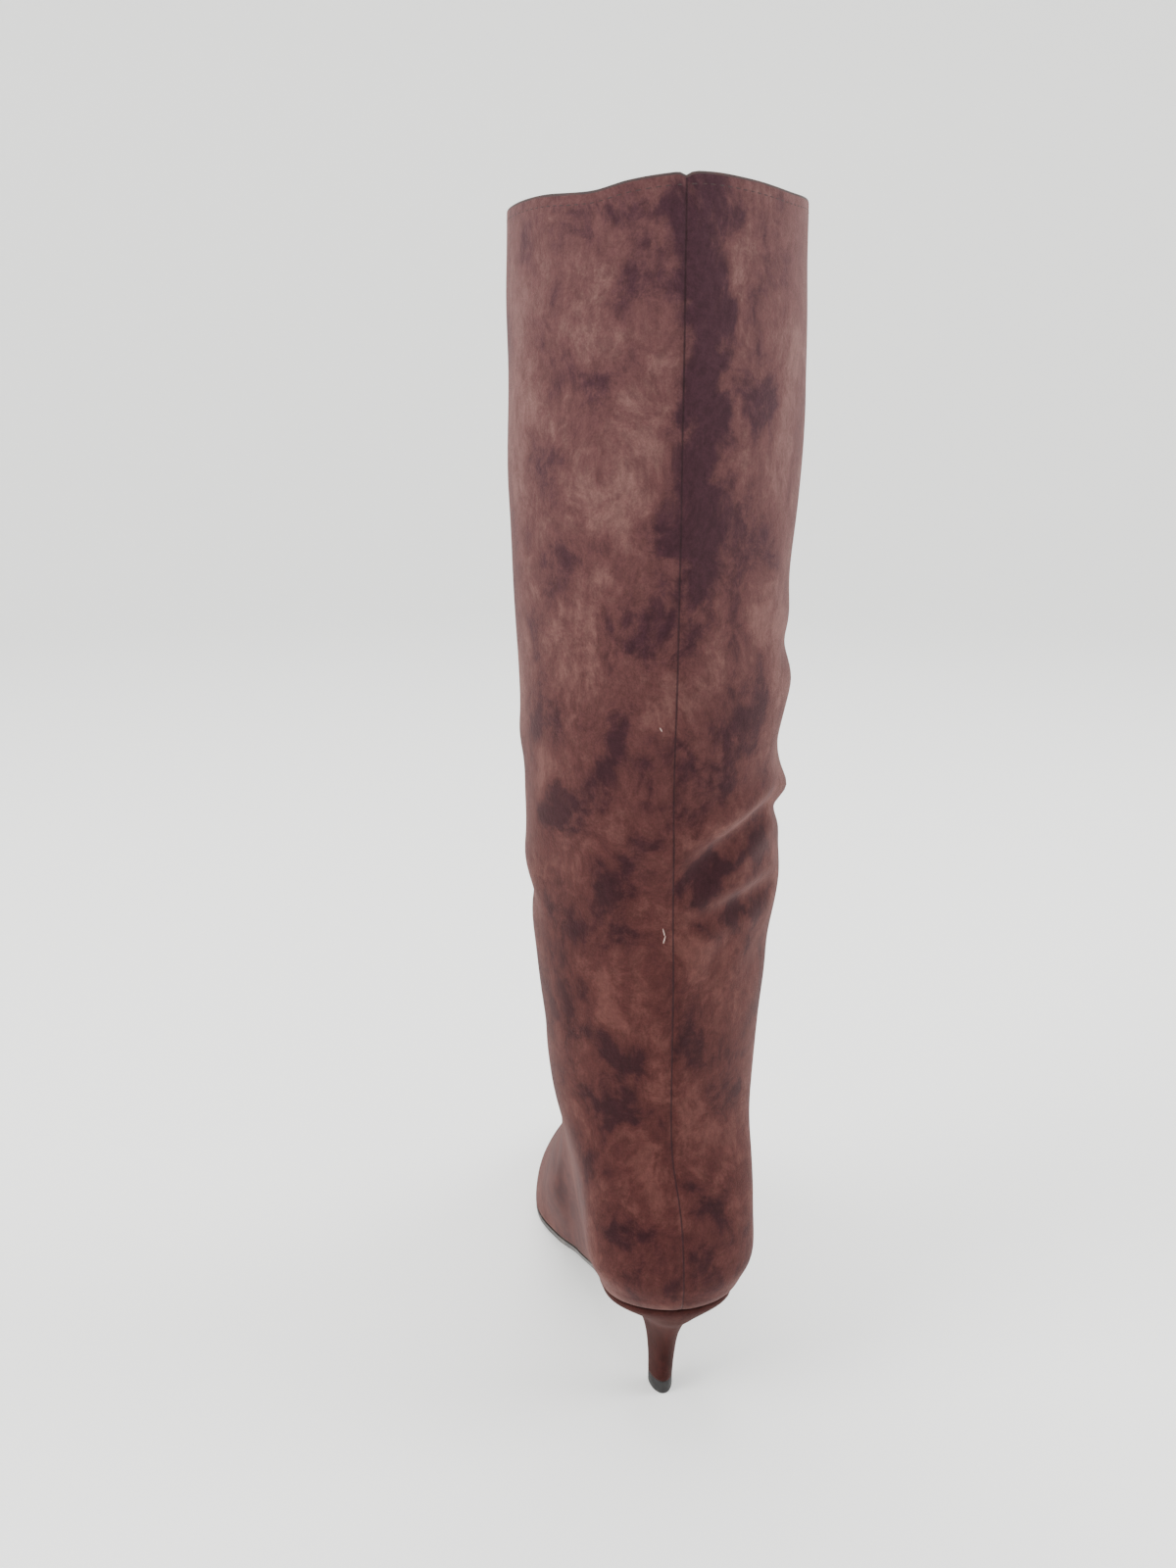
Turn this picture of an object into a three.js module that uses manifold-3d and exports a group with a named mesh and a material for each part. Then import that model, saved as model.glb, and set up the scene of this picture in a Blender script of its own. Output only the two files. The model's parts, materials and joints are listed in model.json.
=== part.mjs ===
import * as THREE from "three";
import { mergeVertices } from "three/addons/utils/BufferGeometryUtils.js";
import Module from "manifold-3d";

// A left knee-high boot with a pointed toe, a kitten heel and a zip on the inner side, in millimetres.
// It stands on the floor with +Z up and the toe towards -Y. The outer side of the foot is +X.
// "Ahead" is the distance from the rearmost line of the heel towards the toe, "up" the height over the floor.

// Overall sizes of the leg and the foot
const bootHeight = 455;
const footLength = 258;
const collarWidth = 109;
const ballWidth = 79;
const heelHeight = 53;

// Sideways places of the toe's tip, the heel's seat, the heel's foot and the collar,
// and how far the leg's back seam is turned from the middle.
// The toe's lean starts and ends at these shares of footLength, with the tip part of the way.
const toeLean = 9;
const seatLean = 3.4;
const heelFootLean = 0.8;
const collarLean = 1.2;
const legTwist = 2.4;
const leanStart = 0.35;
const leanEnd = 1.25;
const leanTotal = 1.6 * toeLean;

// Thicknesses, the gap kept between pieces that meet,
// and how far the outsole and the insole stop short of the toe's tip
const wall = 1.8;
const gap = 0.3;
const outsoleThick = 3;
const waistThick = 2.2;
const outsoleBevel = 0.9;
const outsoleDrawIn = 0.2;
const outsoleShort = 0.6;
const insoleThick = 2.4;
const insoleGap = 0.9;
const insoleShort = 12.6;

// Rounding of the outline at the back of the heel and at the tip of the toe,
// and how much wider the foot is than its sole under the instep
const heelRound = 27;
const instepSwell = 0.28;
const toeRound = 2.5;

// Powers that round the leg's rings and the foot's sections, the slope of the foot's ridge behind the ankle,
// and the least half width that the wall's thickness is drawn in from
const legRoundness = 0.58;
const archRise = 2.1;
const archRoundness = 0.56;
const ridgeSlope = 6;
const leastHalf = 8;
const footWallShare = 1.15;
const toeWallExtra = 0.9;

// Heel: where its front face meets the sole, and the top lift under it
const breastAhead = 48;
const seatRim = 1.6;
const liftHeight = 5.6;

// Zip: its line along the inner side, the heights of its ends, the chain, the tape, the slider and the pull
const zipAhead = 77;
const zipTop = 233;
const zipBottom = 48;
const chainWidth = 4.8;
const chainRise = 0.5;
const tapeWidth = 17;
const tapeThick = 0.9;
const tapeMargin = 2;
const slotPast = 4;
const sliderUp = 222.9;
const sliderLength = 11;
const sliderWidth = 7.6;
const sliderThick = 2.6;
const bailRadius = 0.65;
const bailRise = 3.2;
const bailLength = 5.2;
const bailFoot = 0.4;
const bailCrown = 0.9;
const bailSunk = 0.5;
const pullLength = 17;
const pullWidth = 5.2;
const pullThick = 1.2;
const pullRail = 1.3;
const pullWindow = 3.7;
const pullCorner = 1;
const sliderCorner = 1.8;

// Mesh steps along and around the pieces
const ringsPerRow = 4;
const sidePoints = 20;
const soleStations = 36;
const heelRingPoints = 9;
const breastPoints = 3;
const zipStations = 30;

// One row per ring of the upper, from the collar down to its bottom edge.
// Heights are shares of the way up from the bottom edge to the collar, places ahead shares of footLength,
// half widths shares of collarWidth.
// foot is 0 where a ring is a plain leg section and 1 where it follows the outline of the sole.
const rings = [
  { backUp: 1, backAhead: -0.016, frontUp: 1, frontAhead: 0.465, halfWidth: 0.483, foot: 0 },
  { backUp: 0.8252, backAhead: -0.02, frontUp: 0.8419, frontAhead: 0.467, halfWidth: 0.494, foot: 0 },
  { backUp: 0.6505, backAhead: -0.008, frontUp: 0.683, frontAhead: 0.457, halfWidth: 0.475, foot: 0 },
  { backUp: 0.4902, backAhead: 0.012, frontUp: 0.5351, frontAhead: 0.44, halfWidth: 0.453, foot: 0 },
  { backUp: 0.3565, backAhead: 0.036, frontUp: 0.4088, frontAhead: 0.424, halfWidth: 0.43, foot: 0 },
  { backUp: 0.245, backAhead: 0.05, frontUp: 0.3378, frontAhead: 0.415, halfWidth: 0.4, foot: 0 },
  { backUp: 0.1661, backAhead: 0.05, frontUp: 0.2774, frontAhead: 0.426, halfWidth: 0.377, foot: 0.15 },
  { backUp: 0.1086, backAhead: 0.031, frontUp: 0.2286, frontAhead: 0.485, halfWidth: 0.35, foot: 0.5 },
  { backUp: 0.064, backAhead: 0.01, frontUp: 0.1724, frontAhead: 0.581, halfWidth: 0.32, foot: 0.8 },
  { backUp: 0.03, backAhead: 0.002, frontUp: 0.1178, frontAhead: 0.686, halfWidth: 0.297, foot: 1 },
  { backUp: 0.0119, backAhead: 0.006, frontUp: 0.0678, frontAhead: 0.822, halfWidth: 0.262, foot: 1 },
  { backUp: 0.0043, backAhead: 0.0125, frontUp: 0.0231, frontAhead: 0.957, halfWidth: 0.243, foot: 1 },
  { backUp: 0, backAhead: 0.02, frontUp: 0, frontAhead: 1.0, halfWidth: 0.23, foot: 1 },
];

// Bottom edge of the upper: places ahead are shares of footLength, heights shares of heelHeight
const edgeRows = [
  { ahead: 0.0, up: 1.02 },
  { ahead: 0.19, up: 0.8 },
  { ahead: 0.36, up: 0.44 },
  { ahead: 0.5, up: 0.17 },
  { ahead: 0.61, up: 0.063 },
  { ahead: 0.78, up: 0.06 },
  { ahead: 0.9, up: 0.09 },
  { ahead: 1.0, up: 0.15 },
];

// Outline of the bottom edge: places ahead are shares of footLength, half widths shares of ballWidth
const outlineRows = [
  { ahead: 0.02, outer: 0.31, inner: 0.31 },
  { ahead: 0.12, outer: 0.312, inner: 0.312 },
  { ahead: 0.24, outer: 0.3, inner: 0.285 },
  { ahead: 0.39, outer: 0.315, inner: 0.255 },
  { ahead: 0.51, outer: 0.4, inner: 0.34 },
  { ahead: 0.64, outer: 0.51, inner: 0.465 },
  { ahead: 0.74, outer: 0.475, inner: 0.45 },
  { ahead: 0.84, outer: 0.335, inner: 0.33 },
  { ahead: 0.93, outer: 0.165, inner: 0.165 },
  { ahead: 1.0, outer: 0, inner: 0 },
];

// Heel under its seat: heights are shares of heelHeight, places ahead shares of breastAhead,
// half widths shares of half the ball
const heelRows = [
  { up: 0.76, back: 0.2, front: 0.96, halfWidth: 0.44 },
  { up: 0.66, back: 0.34, front: 0.91, halfWidth: 0.28 },
  { up: 0.54, back: 0.43, front: 0.84, halfWidth: 0.2 },
  { up: 0.42, back: 0.475, front: 0.78, halfWidth: 0.16 },
  { up: 0.27, back: 0.5, front: 0.735, halfWidth: 0.137 },
  { up: 0.112, back: 0.51, front: 0.715, halfWidth: 0.126 },
];

const smooth = (from, to, x) => {
  const f = Math.min(1, Math.max(0, (x - from) / (to - from)));
  return f * f * (3 - 2 * f);
};
const mix = (a, b, f) => a + (b - a) * f;

// The value between two limits at which a test stops holding
function bisect(from, to, holds) {
  let low = from;
  let high = to;
  for (let i = 0; i < 40; i += 1) {
    const middle = (low + high) / 2;
    if (holds(middle)) low = middle;
    else high = middle;
  }
  return (low + high) / 2;
}

// Smooth curve through one column of a table, read at a place in its key column
function curve(rows, key, column, at) {
  const last = rows.length - 1;
  const keyOf = (i) => (key ? rows[i][key] : i);
  let i = 0;
  while (i < last - 1 && at > keyOf(i + 1)) i += 1;
  const slope = (j) => {
    const low = Math.max(0, j - 1);
    const high = Math.min(last, j + 1);
    return (rows[high][column] - rows[low][column]) / (keyOf(high) - keyOf(low));
  };
  const span = keyOf(i + 1) - keyOf(i);
  const f = Math.min(1, Math.max(0, (at - keyOf(i)) / span));
  const f2 = f * f;
  const f3 = f2 * f;
  return (
    rows[i][column] * (2 * f3 - 3 * f2 + 1) +
    slope(i) * span * (f3 - 2 * f2 + f) +
    rows[i + 1][column] * (3 * f2 - 2 * f3) +
    slope(i + 1) * span * (f3 - f2)
  );
}

const edgeUp = (ahead) => heelHeight * curve(edgeRows, "ahead", "up", ahead / footLength);

// Sideways place of the foot's middle line: the heel and the toe lean to the inner side
function lean(ahead) {
  const along = ahead / footLength;
  const toe = leanTotal * smooth(leanStart, leanEnd, along);
  return -toe - seatLean * (1 - smooth(0.08, 0.36, along));
}

// Sideways place of the upper's middle line at a ring: the leg is upright over the foot
function upperLean(ahead, up, s, foot) {
  const level = up / bootHeight;
  const twist = legTwist * (1 - 2 * s) * smooth(0.3, 0.6, level);
  const toe = leanTotal * smooth(leanStart, leanEnd, ahead / footLength);
  const leg = collarLean * smooth(0.3, 0.8, level) + twist - toe;
  return mix(leg, lean(ahead), smooth(0, 0.7, foot));
}

// Half width of the bottom edge's outline on one side, before the heel's back is rounded
function plainOutline(ahead, side) {
  const column = side > 0 ? "outer" : "inner";
  const half = ballWidth * curve(outlineRows, "ahead", column, ahead / footLength);
  const toTip = Math.max(0, footLength - ahead);
  return Math.hypot(Math.max(0, half), Math.sqrt(2 * toeRound * Math.min(toTip, 4 * toeRound)));
}

function roundedBack(ahead) {
  const first = rings[rings.length - 1].backAhead * footLength;
  const f = Math.min(1, Math.max(0, (ahead - first) / heelRound));
  return Math.sqrt(1 - (1 - f) * (1 - f));
}

// Place of ring t on the back or the front profile of the upper
function profilePlace(t, end) {
  const ahead = footLength * curve(rings, null, end + "Ahead", t);
  const edge = edgeUp(ahead);
  return { ahead, up: mix(edge, bootHeight, curve(rings, null, end + "Up", t)) };
}

// Back and front points of ring t, moved inwards by inset square to the profile
function profilePoint(t, end, inset) {
  const last = rings.length - 1;
  const step = 0.02;
  const here = profilePlace(t, end);
  const over = profilePlace(Math.max(0, t - step), end);
  const under = profilePlace(Math.min(last, t + step), end);
  const sense = end === "back" ? 1 : -1;
  const run = Math.hypot(under.ahead - over.ahead, under.up - over.up);
  const level = smooth(last - 1, last, t);
  const normalAhead = mix((over.up - under.up) / run, 1, level) * sense;
  const normalUp = mix((under.ahead - over.ahead) / run, 0, level) * sense;
  const toeExtra = end === "front" ? 1 + toeWallExtra * smooth(last - 1.5, last, t) : 1;
  return {
    ahead: here.ahead + normalAhead * inset * toeExtra,
    up: here.up + normalUp * inset * toeExtra,
  };
}

// Height of the instep's ridge over a place ahead; behind the ankle it goes on rising
function ridgeUp(ahead) {
  const ankle = rings.findIndex((row) => row.foot > 0);
  const bend = profilePlace(ankle, "front");
  if (ahead < bend.ahead) return bend.up + (bend.ahead - ahead) * ridgeSlope;
  const t = bisect(ankle, rings.length - 1, (at) => profilePlace(at, "front").ahead < ahead);
  return profilePlace(t, "front").up;
}

// A point of the upper: ring t, share s of the way from back to front, side 1 outer or -1 inner
function upperPoint(t, s, side, inset = 0) {
  const back = profilePoint(t, "back", inset);
  const front = profilePoint(t, "front", inset);
  const outerBack = profilePoint(t, "back", 0);
  const outerFront = profilePoint(t, "front", 0);
  const foot = curve(rings, null, "foot", t);
  const half = collarWidth * curve(rings, null, "halfWidth", t);
  const ahead = mix(back.ahead, front.ahead, s);

  const straightUp = mix(back.up, front.up, s);
  const riseBack = back.up - edgeUp(back.ahead);
  const riseFront = front.up - edgeUp(front.ahead);
  const followUp = edgeUp(ahead) + mix(riseBack, riseFront, s);
  const settle = smooth(0, 1, foot);
  const up = mix(straightUp, followUp, settle);

  const legHalf = half * Math.pow(4 * s * (1 - s), legRoundness);
  const outerAhead = mix(outerBack.ahead, outerFront.ahead, s);
  const outerStraight = mix(outerBack.up, outerFront.up, s);
  const outerRiseBack = outerBack.up - edgeUp(outerBack.ahead);
  const outerRiseFront = outerFront.up - edgeUp(outerFront.ahead);
  const outerFollow = edgeUp(outerAhead) + mix(outerRiseBack, outerRiseFront, s);
  const outerUp = mix(outerStraight, outerFollow, settle);
  const edge = edgeUp(outerAhead);
  const ridge = ridgeUp(outerAhead);
  const rise = Math.min(1, Math.max(0, (outerUp - edge) / Math.max(0.5, ridge - edge)));
  const arch = Math.pow(Math.max(0, 1 - Math.pow(rise, archRise)), archRoundness);
  const first = rings[rings.length - 1].backAhead * footLength;
  const alongEdge = outerAhead + (first - outerBack.ahead) * (1 - s);
  const seatHalf = rings[rings.length - 1].halfWidth * collarWidth;
  const along = alongEdge / footLength;
  const heelSwell = mix(half / seatHalf, 1, smooth(0.12, 0.42, along));
  const overSole = smooth(0.12, 0.4, along) * (1 - smooth(0.42, 0.64, along)) * smooth(0, 0.3, rise);
  const outline = plainOutline(alongEdge, side);
  const footHalf = outline * roundedBack(alongEdge) * arch * heelSwell * (1 + instepSwell * overSole);
  const width = mix(legHalf, s >= 1 ? 0 : footHalf, foot);

  const reference = Math.max(leastHalf, mix(half, outline, foot));
  const inner = (reference - inset * mix(1, footWallShare, foot)) / reference;
  return new THREE.Vector3(side * width * inner + upperLean(ahead, up, s, foot), -ahead, up);
}

// One closed ring of the upper, from the back seam over the outer side and back by the inner side
function upperRing(t, inset) {
  const loop = [];
  for (let i = 0; i < 2 * sidePoints; i += 1) {
    const side = i < sidePoints ? 1 : -1;
    const step = i < sidePoints ? i : 2 * sidePoints - i;
    const s = (1 - Math.cos((Math.PI * step) / sidePoints)) / 2;
    loop.push(upperPoint(t, s, side, inset));
  }
  return loop;
}

// Closed mesh from loops of points: "ring" joins the last loop to the first, "fan" and "strip" cap both ends
function loft(loops, ends) {
  const count = loops[0].length;
  const positions = loops.flat().flatMap((p) => [p.x, p.y, p.z]);
  const faces = [];
  const quad = (a, b, c, d) => faces.push([a, b, c], [a, c, d]);
  const spans = ends === "ring" ? loops.length : loops.length - 1;
  for (let i = 0; i < spans; i += 1) {
    const low = i * count;
    const high = ((i + 1) % loops.length) * count;
    for (let j = 0; j < count; j += 1) {
      const next = (j + 1) % count;
      quad(low + j, low + next, high + next, high + j);
    }
  }
  const cap = (start, flip) => {
    const add = (a, b, c) => {
      const face = [a + start, b + start, c + start];
      faces.push(flip ? face.reverse() : face);
    };
    if (ends === "fan") {
      for (let j = 1; j < count - 1; j += 1) add(0, j + 1, j);
    }
    if (ends === "strip") {
      for (let j = 0; j < count / 2; j += 1) {
        const across = (count - j) % count;
        if (j > 0) add(j, across, j + 1);
        if (j + 1 < count / 2) add(j + 1, across, across === 0 ? count - 1 : across - 1);
      }
    }
  };
  cap(0, false);
  cap((loops.length - 1) * count, true);
  const geometry = new THREE.BufferGeometry();
  geometry.setAttribute("position", new THREE.Float32BufferAttribute(positions, 3));
  geometry.setIndex(faces.flat());
  return outward(geometry);
}

// The same mesh with its faces turned outwards
function outward(geometry) {
  const p = geometry.getAttribute("position");
  const index = geometry.getIndex().array;
  const corner = [new THREE.Vector3(), new THREE.Vector3(), new THREE.Vector3()];
  let volume = 0;
  for (let i = 0; i < index.length; i += 3) {
    corner.forEach((v, j) => v.fromBufferAttribute(p, index[i + j]));
    volume += corner[0].dot(corner[1].clone().cross(corner[2]));
  }
  if (volume < 0) {
    for (let i = 0; i < index.length; i += 3) [index[i], index[i + 1]] = [index[i + 1], index[i]];
  }
  return geometry;
}

const wasm = await Module();
wasm.setup();

function toSolid(geometry) {
  const plain = geometry.clone();
  plain.deleteAttribute("normal");
  plain.deleteAttribute("uv");
  const merged = mergeVertices(plain, 1e-5);
  return new wasm.Manifold(
    new wasm.Mesh({
      numProp: 3,
      vertProperties: new Float32Array(merged.getAttribute("position").array),
      triVerts: new Uint32Array(merged.getIndex().array),
    }),
  );
}

function toGeometry(solid) {
  const mesh = solid.getMesh();
  const geometry = new THREE.BufferGeometry();
  geometry.setAttribute("position", new THREE.BufferAttribute(new Float32Array(mesh.vertProperties), 3));
  geometry.setIndex(new THREE.BufferAttribute(new Uint32Array(mesh.triVerts), 1));
  return geometry;
}

// A band along the zip's line between two heights and two insets of the upper, as wide as asked
function zipBand(top, bottom, width, outerInset, innerInset) {
  const loops = [];
  const from = zipRing(top);
  const to = zipRing(bottom);
  const step = 0.01;
  for (let i = 0; i <= zipStations; i += 1) {
    const t = mix(from, to, i / zipStations);
    const middle = zipShare(t);
    const span = upperPoint(t, middle + step, -1).distanceTo(upperPoint(t, middle - step, -1));
    const reach = (width * step) / span;
    loops.push([
      upperPoint(t, middle - reach, -1, outerInset),
      upperPoint(t, middle + reach, -1, outerInset),
      upperPoint(t, middle + reach, -1, innerInset),
      upperPoint(t, middle - reach, -1, innerInset),
    ]);
  }
  return loft(loops, "fan");
}

function zipShare(t) {
  const back = profilePoint(t, "back", 0);
  const front = profilePoint(t, "front", 0);
  return (zipAhead - back.ahead) / (front.ahead - back.ahead);
}

// The ring at which the zip's line is at a height
const zipRing = (up) => bisect(0, rings.length - 1, (t) => upperPoint(t, zipShare(t), -1).z > up);

// Upper, with the zip's slot cut through its wall
function makeUpper() {
  const loops = [];
  const last = (rings.length - 1) * ringsPerRow;
  for (let i = 0; i <= last; i += 1) loops.push(upperRing(i / ringsPerRow, 0));
  for (let i = last; i >= 0; i -= 1) loops.push(upperRing(i / ringsPerRow, wall));
  const shell = toSolid(loft(loops, "ring"));
  const slot = zipBand(zipTop, zipBottom, chainWidth + 2 * gap, -slotPast, wall + slotPast);
  return toGeometry(shell.subtract(toSolid(slot)));
}

// Half widths of a flat layer at a place ahead, drawn in from the bottom edge's outline
function layerSides(ahead, drawIn) {
  const tip = footLength - ahead;
  const shrink = (side) => {
    const half = plainOutline(ahead, side) * roundedBack(ahead);
    return Math.max(2 * drawIn, half - drawIn * Math.min(1, tip / heelRound));
  };
  return { outer: shrink(1), inner: shrink(-1) };
}

// Outsole from the heel's front face to the toe, with a bevel round its lower edge
function makeOutsole() {
  const loops = [];
  const from = breastAhead + gap;
  const to = footLength - outsoleShort;
  for (let i = 0; i <= soleStations; i += 1) {
    const ahead = mix(from, to, Math.sin((Math.PI / 2) * (i / soleStations)));
    const sides = layerSides(ahead, outsoleDrawIn);
    const top = edgeUp(ahead) - gap;
    const thick = mix(waistThick, outsoleThick, smooth(0.3, 0.55, ahead / footLength));
    const bottom = Math.max(0, top - thick);
    const bevel = Math.min(outsoleBevel, sides.outer * 0.4, sides.inner * 0.4);
    const x = lean(ahead);
    const point = (dx, z) => new THREE.Vector3(x + dx, -ahead, z);
    loops.push([
      point(-sides.inner, top),
      point(sides.outer, top),
      point(sides.outer, bottom + outsoleBevel),
      point(sides.outer - bevel, bottom),
      point(bevel - sides.inner, bottom),
      point(-sides.inner, bottom + outsoleBevel),
    ]);
  }
  return loft(loops, "fan");
}

// Insole inside the upper's bottom edge, which it follows at a distance
function makeInsole() {
  const loops = [];
  const last = rings.length - 1;
  const drawIn = wall + insoleGap;
  const length = profilePoint(last, "front", drawIn).ahead - profilePoint(last, "back", drawIn).ahead;
  const end = 1 - insoleShort / length;
  const start = 0.001;
  for (let i = 0; i <= soleStations; i += 1) {
    const s = Math.max(start, (end * (1 - Math.cos((Math.PI * i) / soleStations))) / 2);
    const outer = upperPoint(last, s, 1, drawIn);
    const inner = upperPoint(last, s, -1, drawIn);
    const raised = (p, rise) => new THREE.Vector3(p.x, p.y, edgeUp(-p.y) + rise);
    loops.push([raised(inner, 0), raised(outer, 0), raised(outer, insoleThick), raised(inner, insoleThick)]);
  }
  return loft(loops, "fan");
}

// One level of the heel: a round back, and a flat front face across it
function heelRing(aheadAt, halfAt, upAt, middleAt) {
  const sidePath = [];
  for (let i = 0; i <= heelRingPoints; i += 1) {
    const f = 1 - Math.cos((Math.PI / 2) * (i / heelRingPoints));
    sidePath.push({ ahead: aheadAt(f), f, across: 1 });
  }
  for (let i = 1; i <= breastPoints; i += 1) {
    sidePath.push({ ahead: aheadAt(1), f: 1, across: 1 - i / breastPoints });
  }
  const at = (p, side) => {
    const half = halfAt(p.f, side) * p.across;
    return new THREE.Vector3(side * half + middleAt(p.ahead), -p.ahead, upAt(p.ahead));
  };
  const outer = sidePath.map((p) => at(p, 1));
  const inner = sidePath.slice(1, -1).map((p) => at(p, -1));
  return outer.concat(inner.reverse());
}

// Heel from its cupped seat down to the top lift
function makeHeel() {
  const back = rings[rings.length - 1].backAhead * footLength;
  const seatAhead = (f) => mix(back, breastAhead, f);
  const seatHalf = (f, side) => plainOutline(seatAhead(f), side) * roundedBack(seatAhead(f));
  const loops = [
    heelRing(seatAhead, seatHalf, (ahead) => edgeUp(ahead) - gap, lean),
    heelRing(seatAhead, seatHalf, (ahead) => edgeUp(ahead) - gap - seatRim, lean),
  ];
  for (const row of heelRows) {
    const tilt = smooth(0.3, 0.8, row.up);
    const level = row.up * heelHeight;
    const middle = edgeUp(breastAhead * 0.5);
    loops.push(neckRing(row, (ahead) => level + tilt * (edgeUp(ahead) - middle)));
  }
  return loft(loops, "strip");
}

function neckRing(row, upAt) {
  const aheadAt = (f) => breastAhead * mix(row.back, row.front, f);
  const halfAt = (f) => ((row.halfWidth * ballWidth) / 2) * Math.sqrt(1 - (1 - f) * (1 - f));
  return heelRing(aheadAt, halfAt, upAt, () => -mix(heelFootLean, seatLean, row.up));
}

function makeHeelTip() {
  const row = heelRows[heelRows.length - 1];
  return loft([liftHeight, 0].map((up) => neckRing(row, () => up)), "strip");
}

// Closed zip: a raised chain through the slot, on a tape behind the wall
function makeZipTape() {
  const outside = wall + gap;
  const inside = outside + tapeThick;
  const tape = zipBand(zipTop + tapeMargin, zipBottom - tapeMargin, tapeWidth, outside, inside);
  const middle = outside + tapeThick / 2;
  const chain = zipBand(zipTop - gap, zipBottom + gap, chainWidth, -chainRise, middle);
  return toGeometry(toSolid(tape).add(toSolid(chain)));
}

// Where the slider sits: a frame that lies on the upper, and one that hangs straight down
function zipFrames(t) {
  const origin = upperPoint(t, zipShare(t), -1);
  const above = upperPoint(t - 0.05, zipShare(t), -1).sub(origin);
  const ahead = upperPoint(t, zipShare(t) + 0.01, -1).sub(origin);
  const normal = new THREE.Vector3().crossVectors(above, ahead);
  if (normal.x > 0) normal.negate();
  const upright = new THREE.Vector3(0, 0, 1);
  const outLevel = new THREE.Vector3(normal.x, normal.y, 0).normalize();
  const across = new THREE.Vector3().crossVectors(upright, outLevel);
  const level = outLevel.clone().multiplyScalar(normal.dot(outLevel));
  const out = level.addScaledVector(upright, normal.z).normalize();
  const along = new THREE.Vector3().crossVectors(out, across);
  return {
    lying: new THREE.Matrix4().makeBasis(across, along, out).setPosition(origin),
    hanging: new THREE.Matrix4().makeBasis(across, upright, outLevel),
  };
}

// A flat plate with rounded corners, drawn across and along, with an optional window in it
function plate(width, bottom, top, corner, thick, window) {
  const w = width / 2;
  const shape = new THREE.Shape();
  shape.moveTo(-w + corner, bottom);
  shape.lineTo(w - corner, bottom);
  shape.quadraticCurveTo(w, bottom, w, bottom + corner);
  shape.lineTo(w, top - corner);
  shape.quadraticCurveTo(w, top, w - corner, top);
  shape.lineTo(-w + corner, top);
  shape.quadraticCurveTo(-w, top, -w, top - corner);
  shape.lineTo(-w, bottom + corner);
  shape.quadraticCurveTo(-w, bottom, -w + corner, bottom);
  if (window) {
    const corners = [[-1, 0], [-1, 1], [1, 1], [1, 0]];
    const half = w - pullRail;
    const low = window.top - window.length;
    const outline = corners.map(([x, y]) => new THREE.Vector2(half * x, mix(low, window.top, y)));
    shape.holes.push(new THREE.Path(outline));
  }
  return new THREE.ExtrudeGeometry(shape, { depth: thick, bevelEnabled: false, curveSegments: 5 });
}

const sliderLift = chainRise + gap;
const pinLift = sliderLift + sliderThick + bailRise / 2;

// Slider on the chain, with the staple that carries the pull
function makeSlider() {
  const body = plate(sliderWidth, -sliderLength / 2, sliderLength / 2, sliderCorner, sliderThick);
  const foot = bailLength / 2;
  const sunk = sliderThick - bailSunk;
  const bend = sliderThick + bailFoot;
  const crown = sliderThick + bailRise + bailCrown;
  const arch = new THREE.CurvePath();
  const point = (along, out) => new THREE.Vector3(0, along, out);
  const bow = [point(foot, bend), point(foot, crown), point(-foot, crown), point(-foot, bend)];
  arch.add(new THREE.LineCurve3(point(foot, sunk), bow[0]));
  arch.add(new THREE.CubicBezierCurve3(...bow));
  arch.add(new THREE.LineCurve3(bow[3], point(-foot, sunk)));
  const smoothArch = new THREE.CatmullRomCurve3(arch.getSpacedPoints(14), false, "centripetal");
  const round = new THREE.Shape().absarc(0, 0, bailRadius, 0, 2 * Math.PI);
  const bail = new THREE.ExtrudeGeometry(round, { steps: 14, extrudePath: smoothArch, curveSegments: 4 });
  const solid = toSolid(body).add(toSolid(bail));
  const lift = new THREE.Matrix4().makeTranslation(0, 0, sliderLift);
  return toGeometry(solid).applyMatrix4(zipFrames(zipRing(sliderUp)).lying.multiply(lift));
}

// Pull tab that hangs from the staple by the bar over its window
function makePull() {
  const bar = pullThick / 2;
  const window = { top: -bar, length: pullWindow };
  const tab = plate(pullWidth, bar - pullLength, bar, pullCorner, pullThick, window);
  tab.translate(0, 0, -bar);
  const frames = zipFrames(zipRing(sliderUp));
  const pin = new THREE.Vector3(0, 0, pinLift).applyMatrix4(frames.lying);
  return tab.applyMatrix4(frames.hanging.setPosition(pin));
}

const gunmetal = { color: 0x3a3432, roughness: 0.35, metalness: 0.9 };
const suede = { color: 0x4d3431, roughness: 0.95, metalness: 0 };
const pieces = {
  upper: [makeUpper(), suede],
  outsole: [makeOutsole(), { color: 0x1d1a19, roughness: 0.6, metalness: 0 }],
  insole: [makeInsole(), { color: 0x2b2321, roughness: 0.9, metalness: 0 }],
  heel: [makeHeel(), suede],
  heel_tip: [makeHeelTip(), { color: 0x141313, roughness: 0.55, metalness: 0 }],
  zip_tape: [makeZipTape(), { color: 0x2f2220, roughness: 0.85, metalness: 0 }],
  zip_slider: [makeSlider(), gunmetal],
  zip_pull: [makePull(), gunmetal],
};

const boot = new THREE.Group();
for (const [name, [geometry, look]] of Object.entries(pieces)) {
  const mesh = new THREE.Mesh(geometry, new THREE.MeshStandardMaterial(look));
  mesh.name = name;
  boot.add(mesh);
}

// The origin is the middle of the boot's own box, on the floor
const box = new THREE.Box3().setFromObject(boot);
const middle = box.getCenter(new THREE.Vector3());
boot.children.forEach((mesh) => mesh.geometry.translate(-middle.x, -middle.y, 0));

export default boot;
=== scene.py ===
import json
import math
import bpy
import numpy as np
from mathutils import Matrix, Vector

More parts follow.
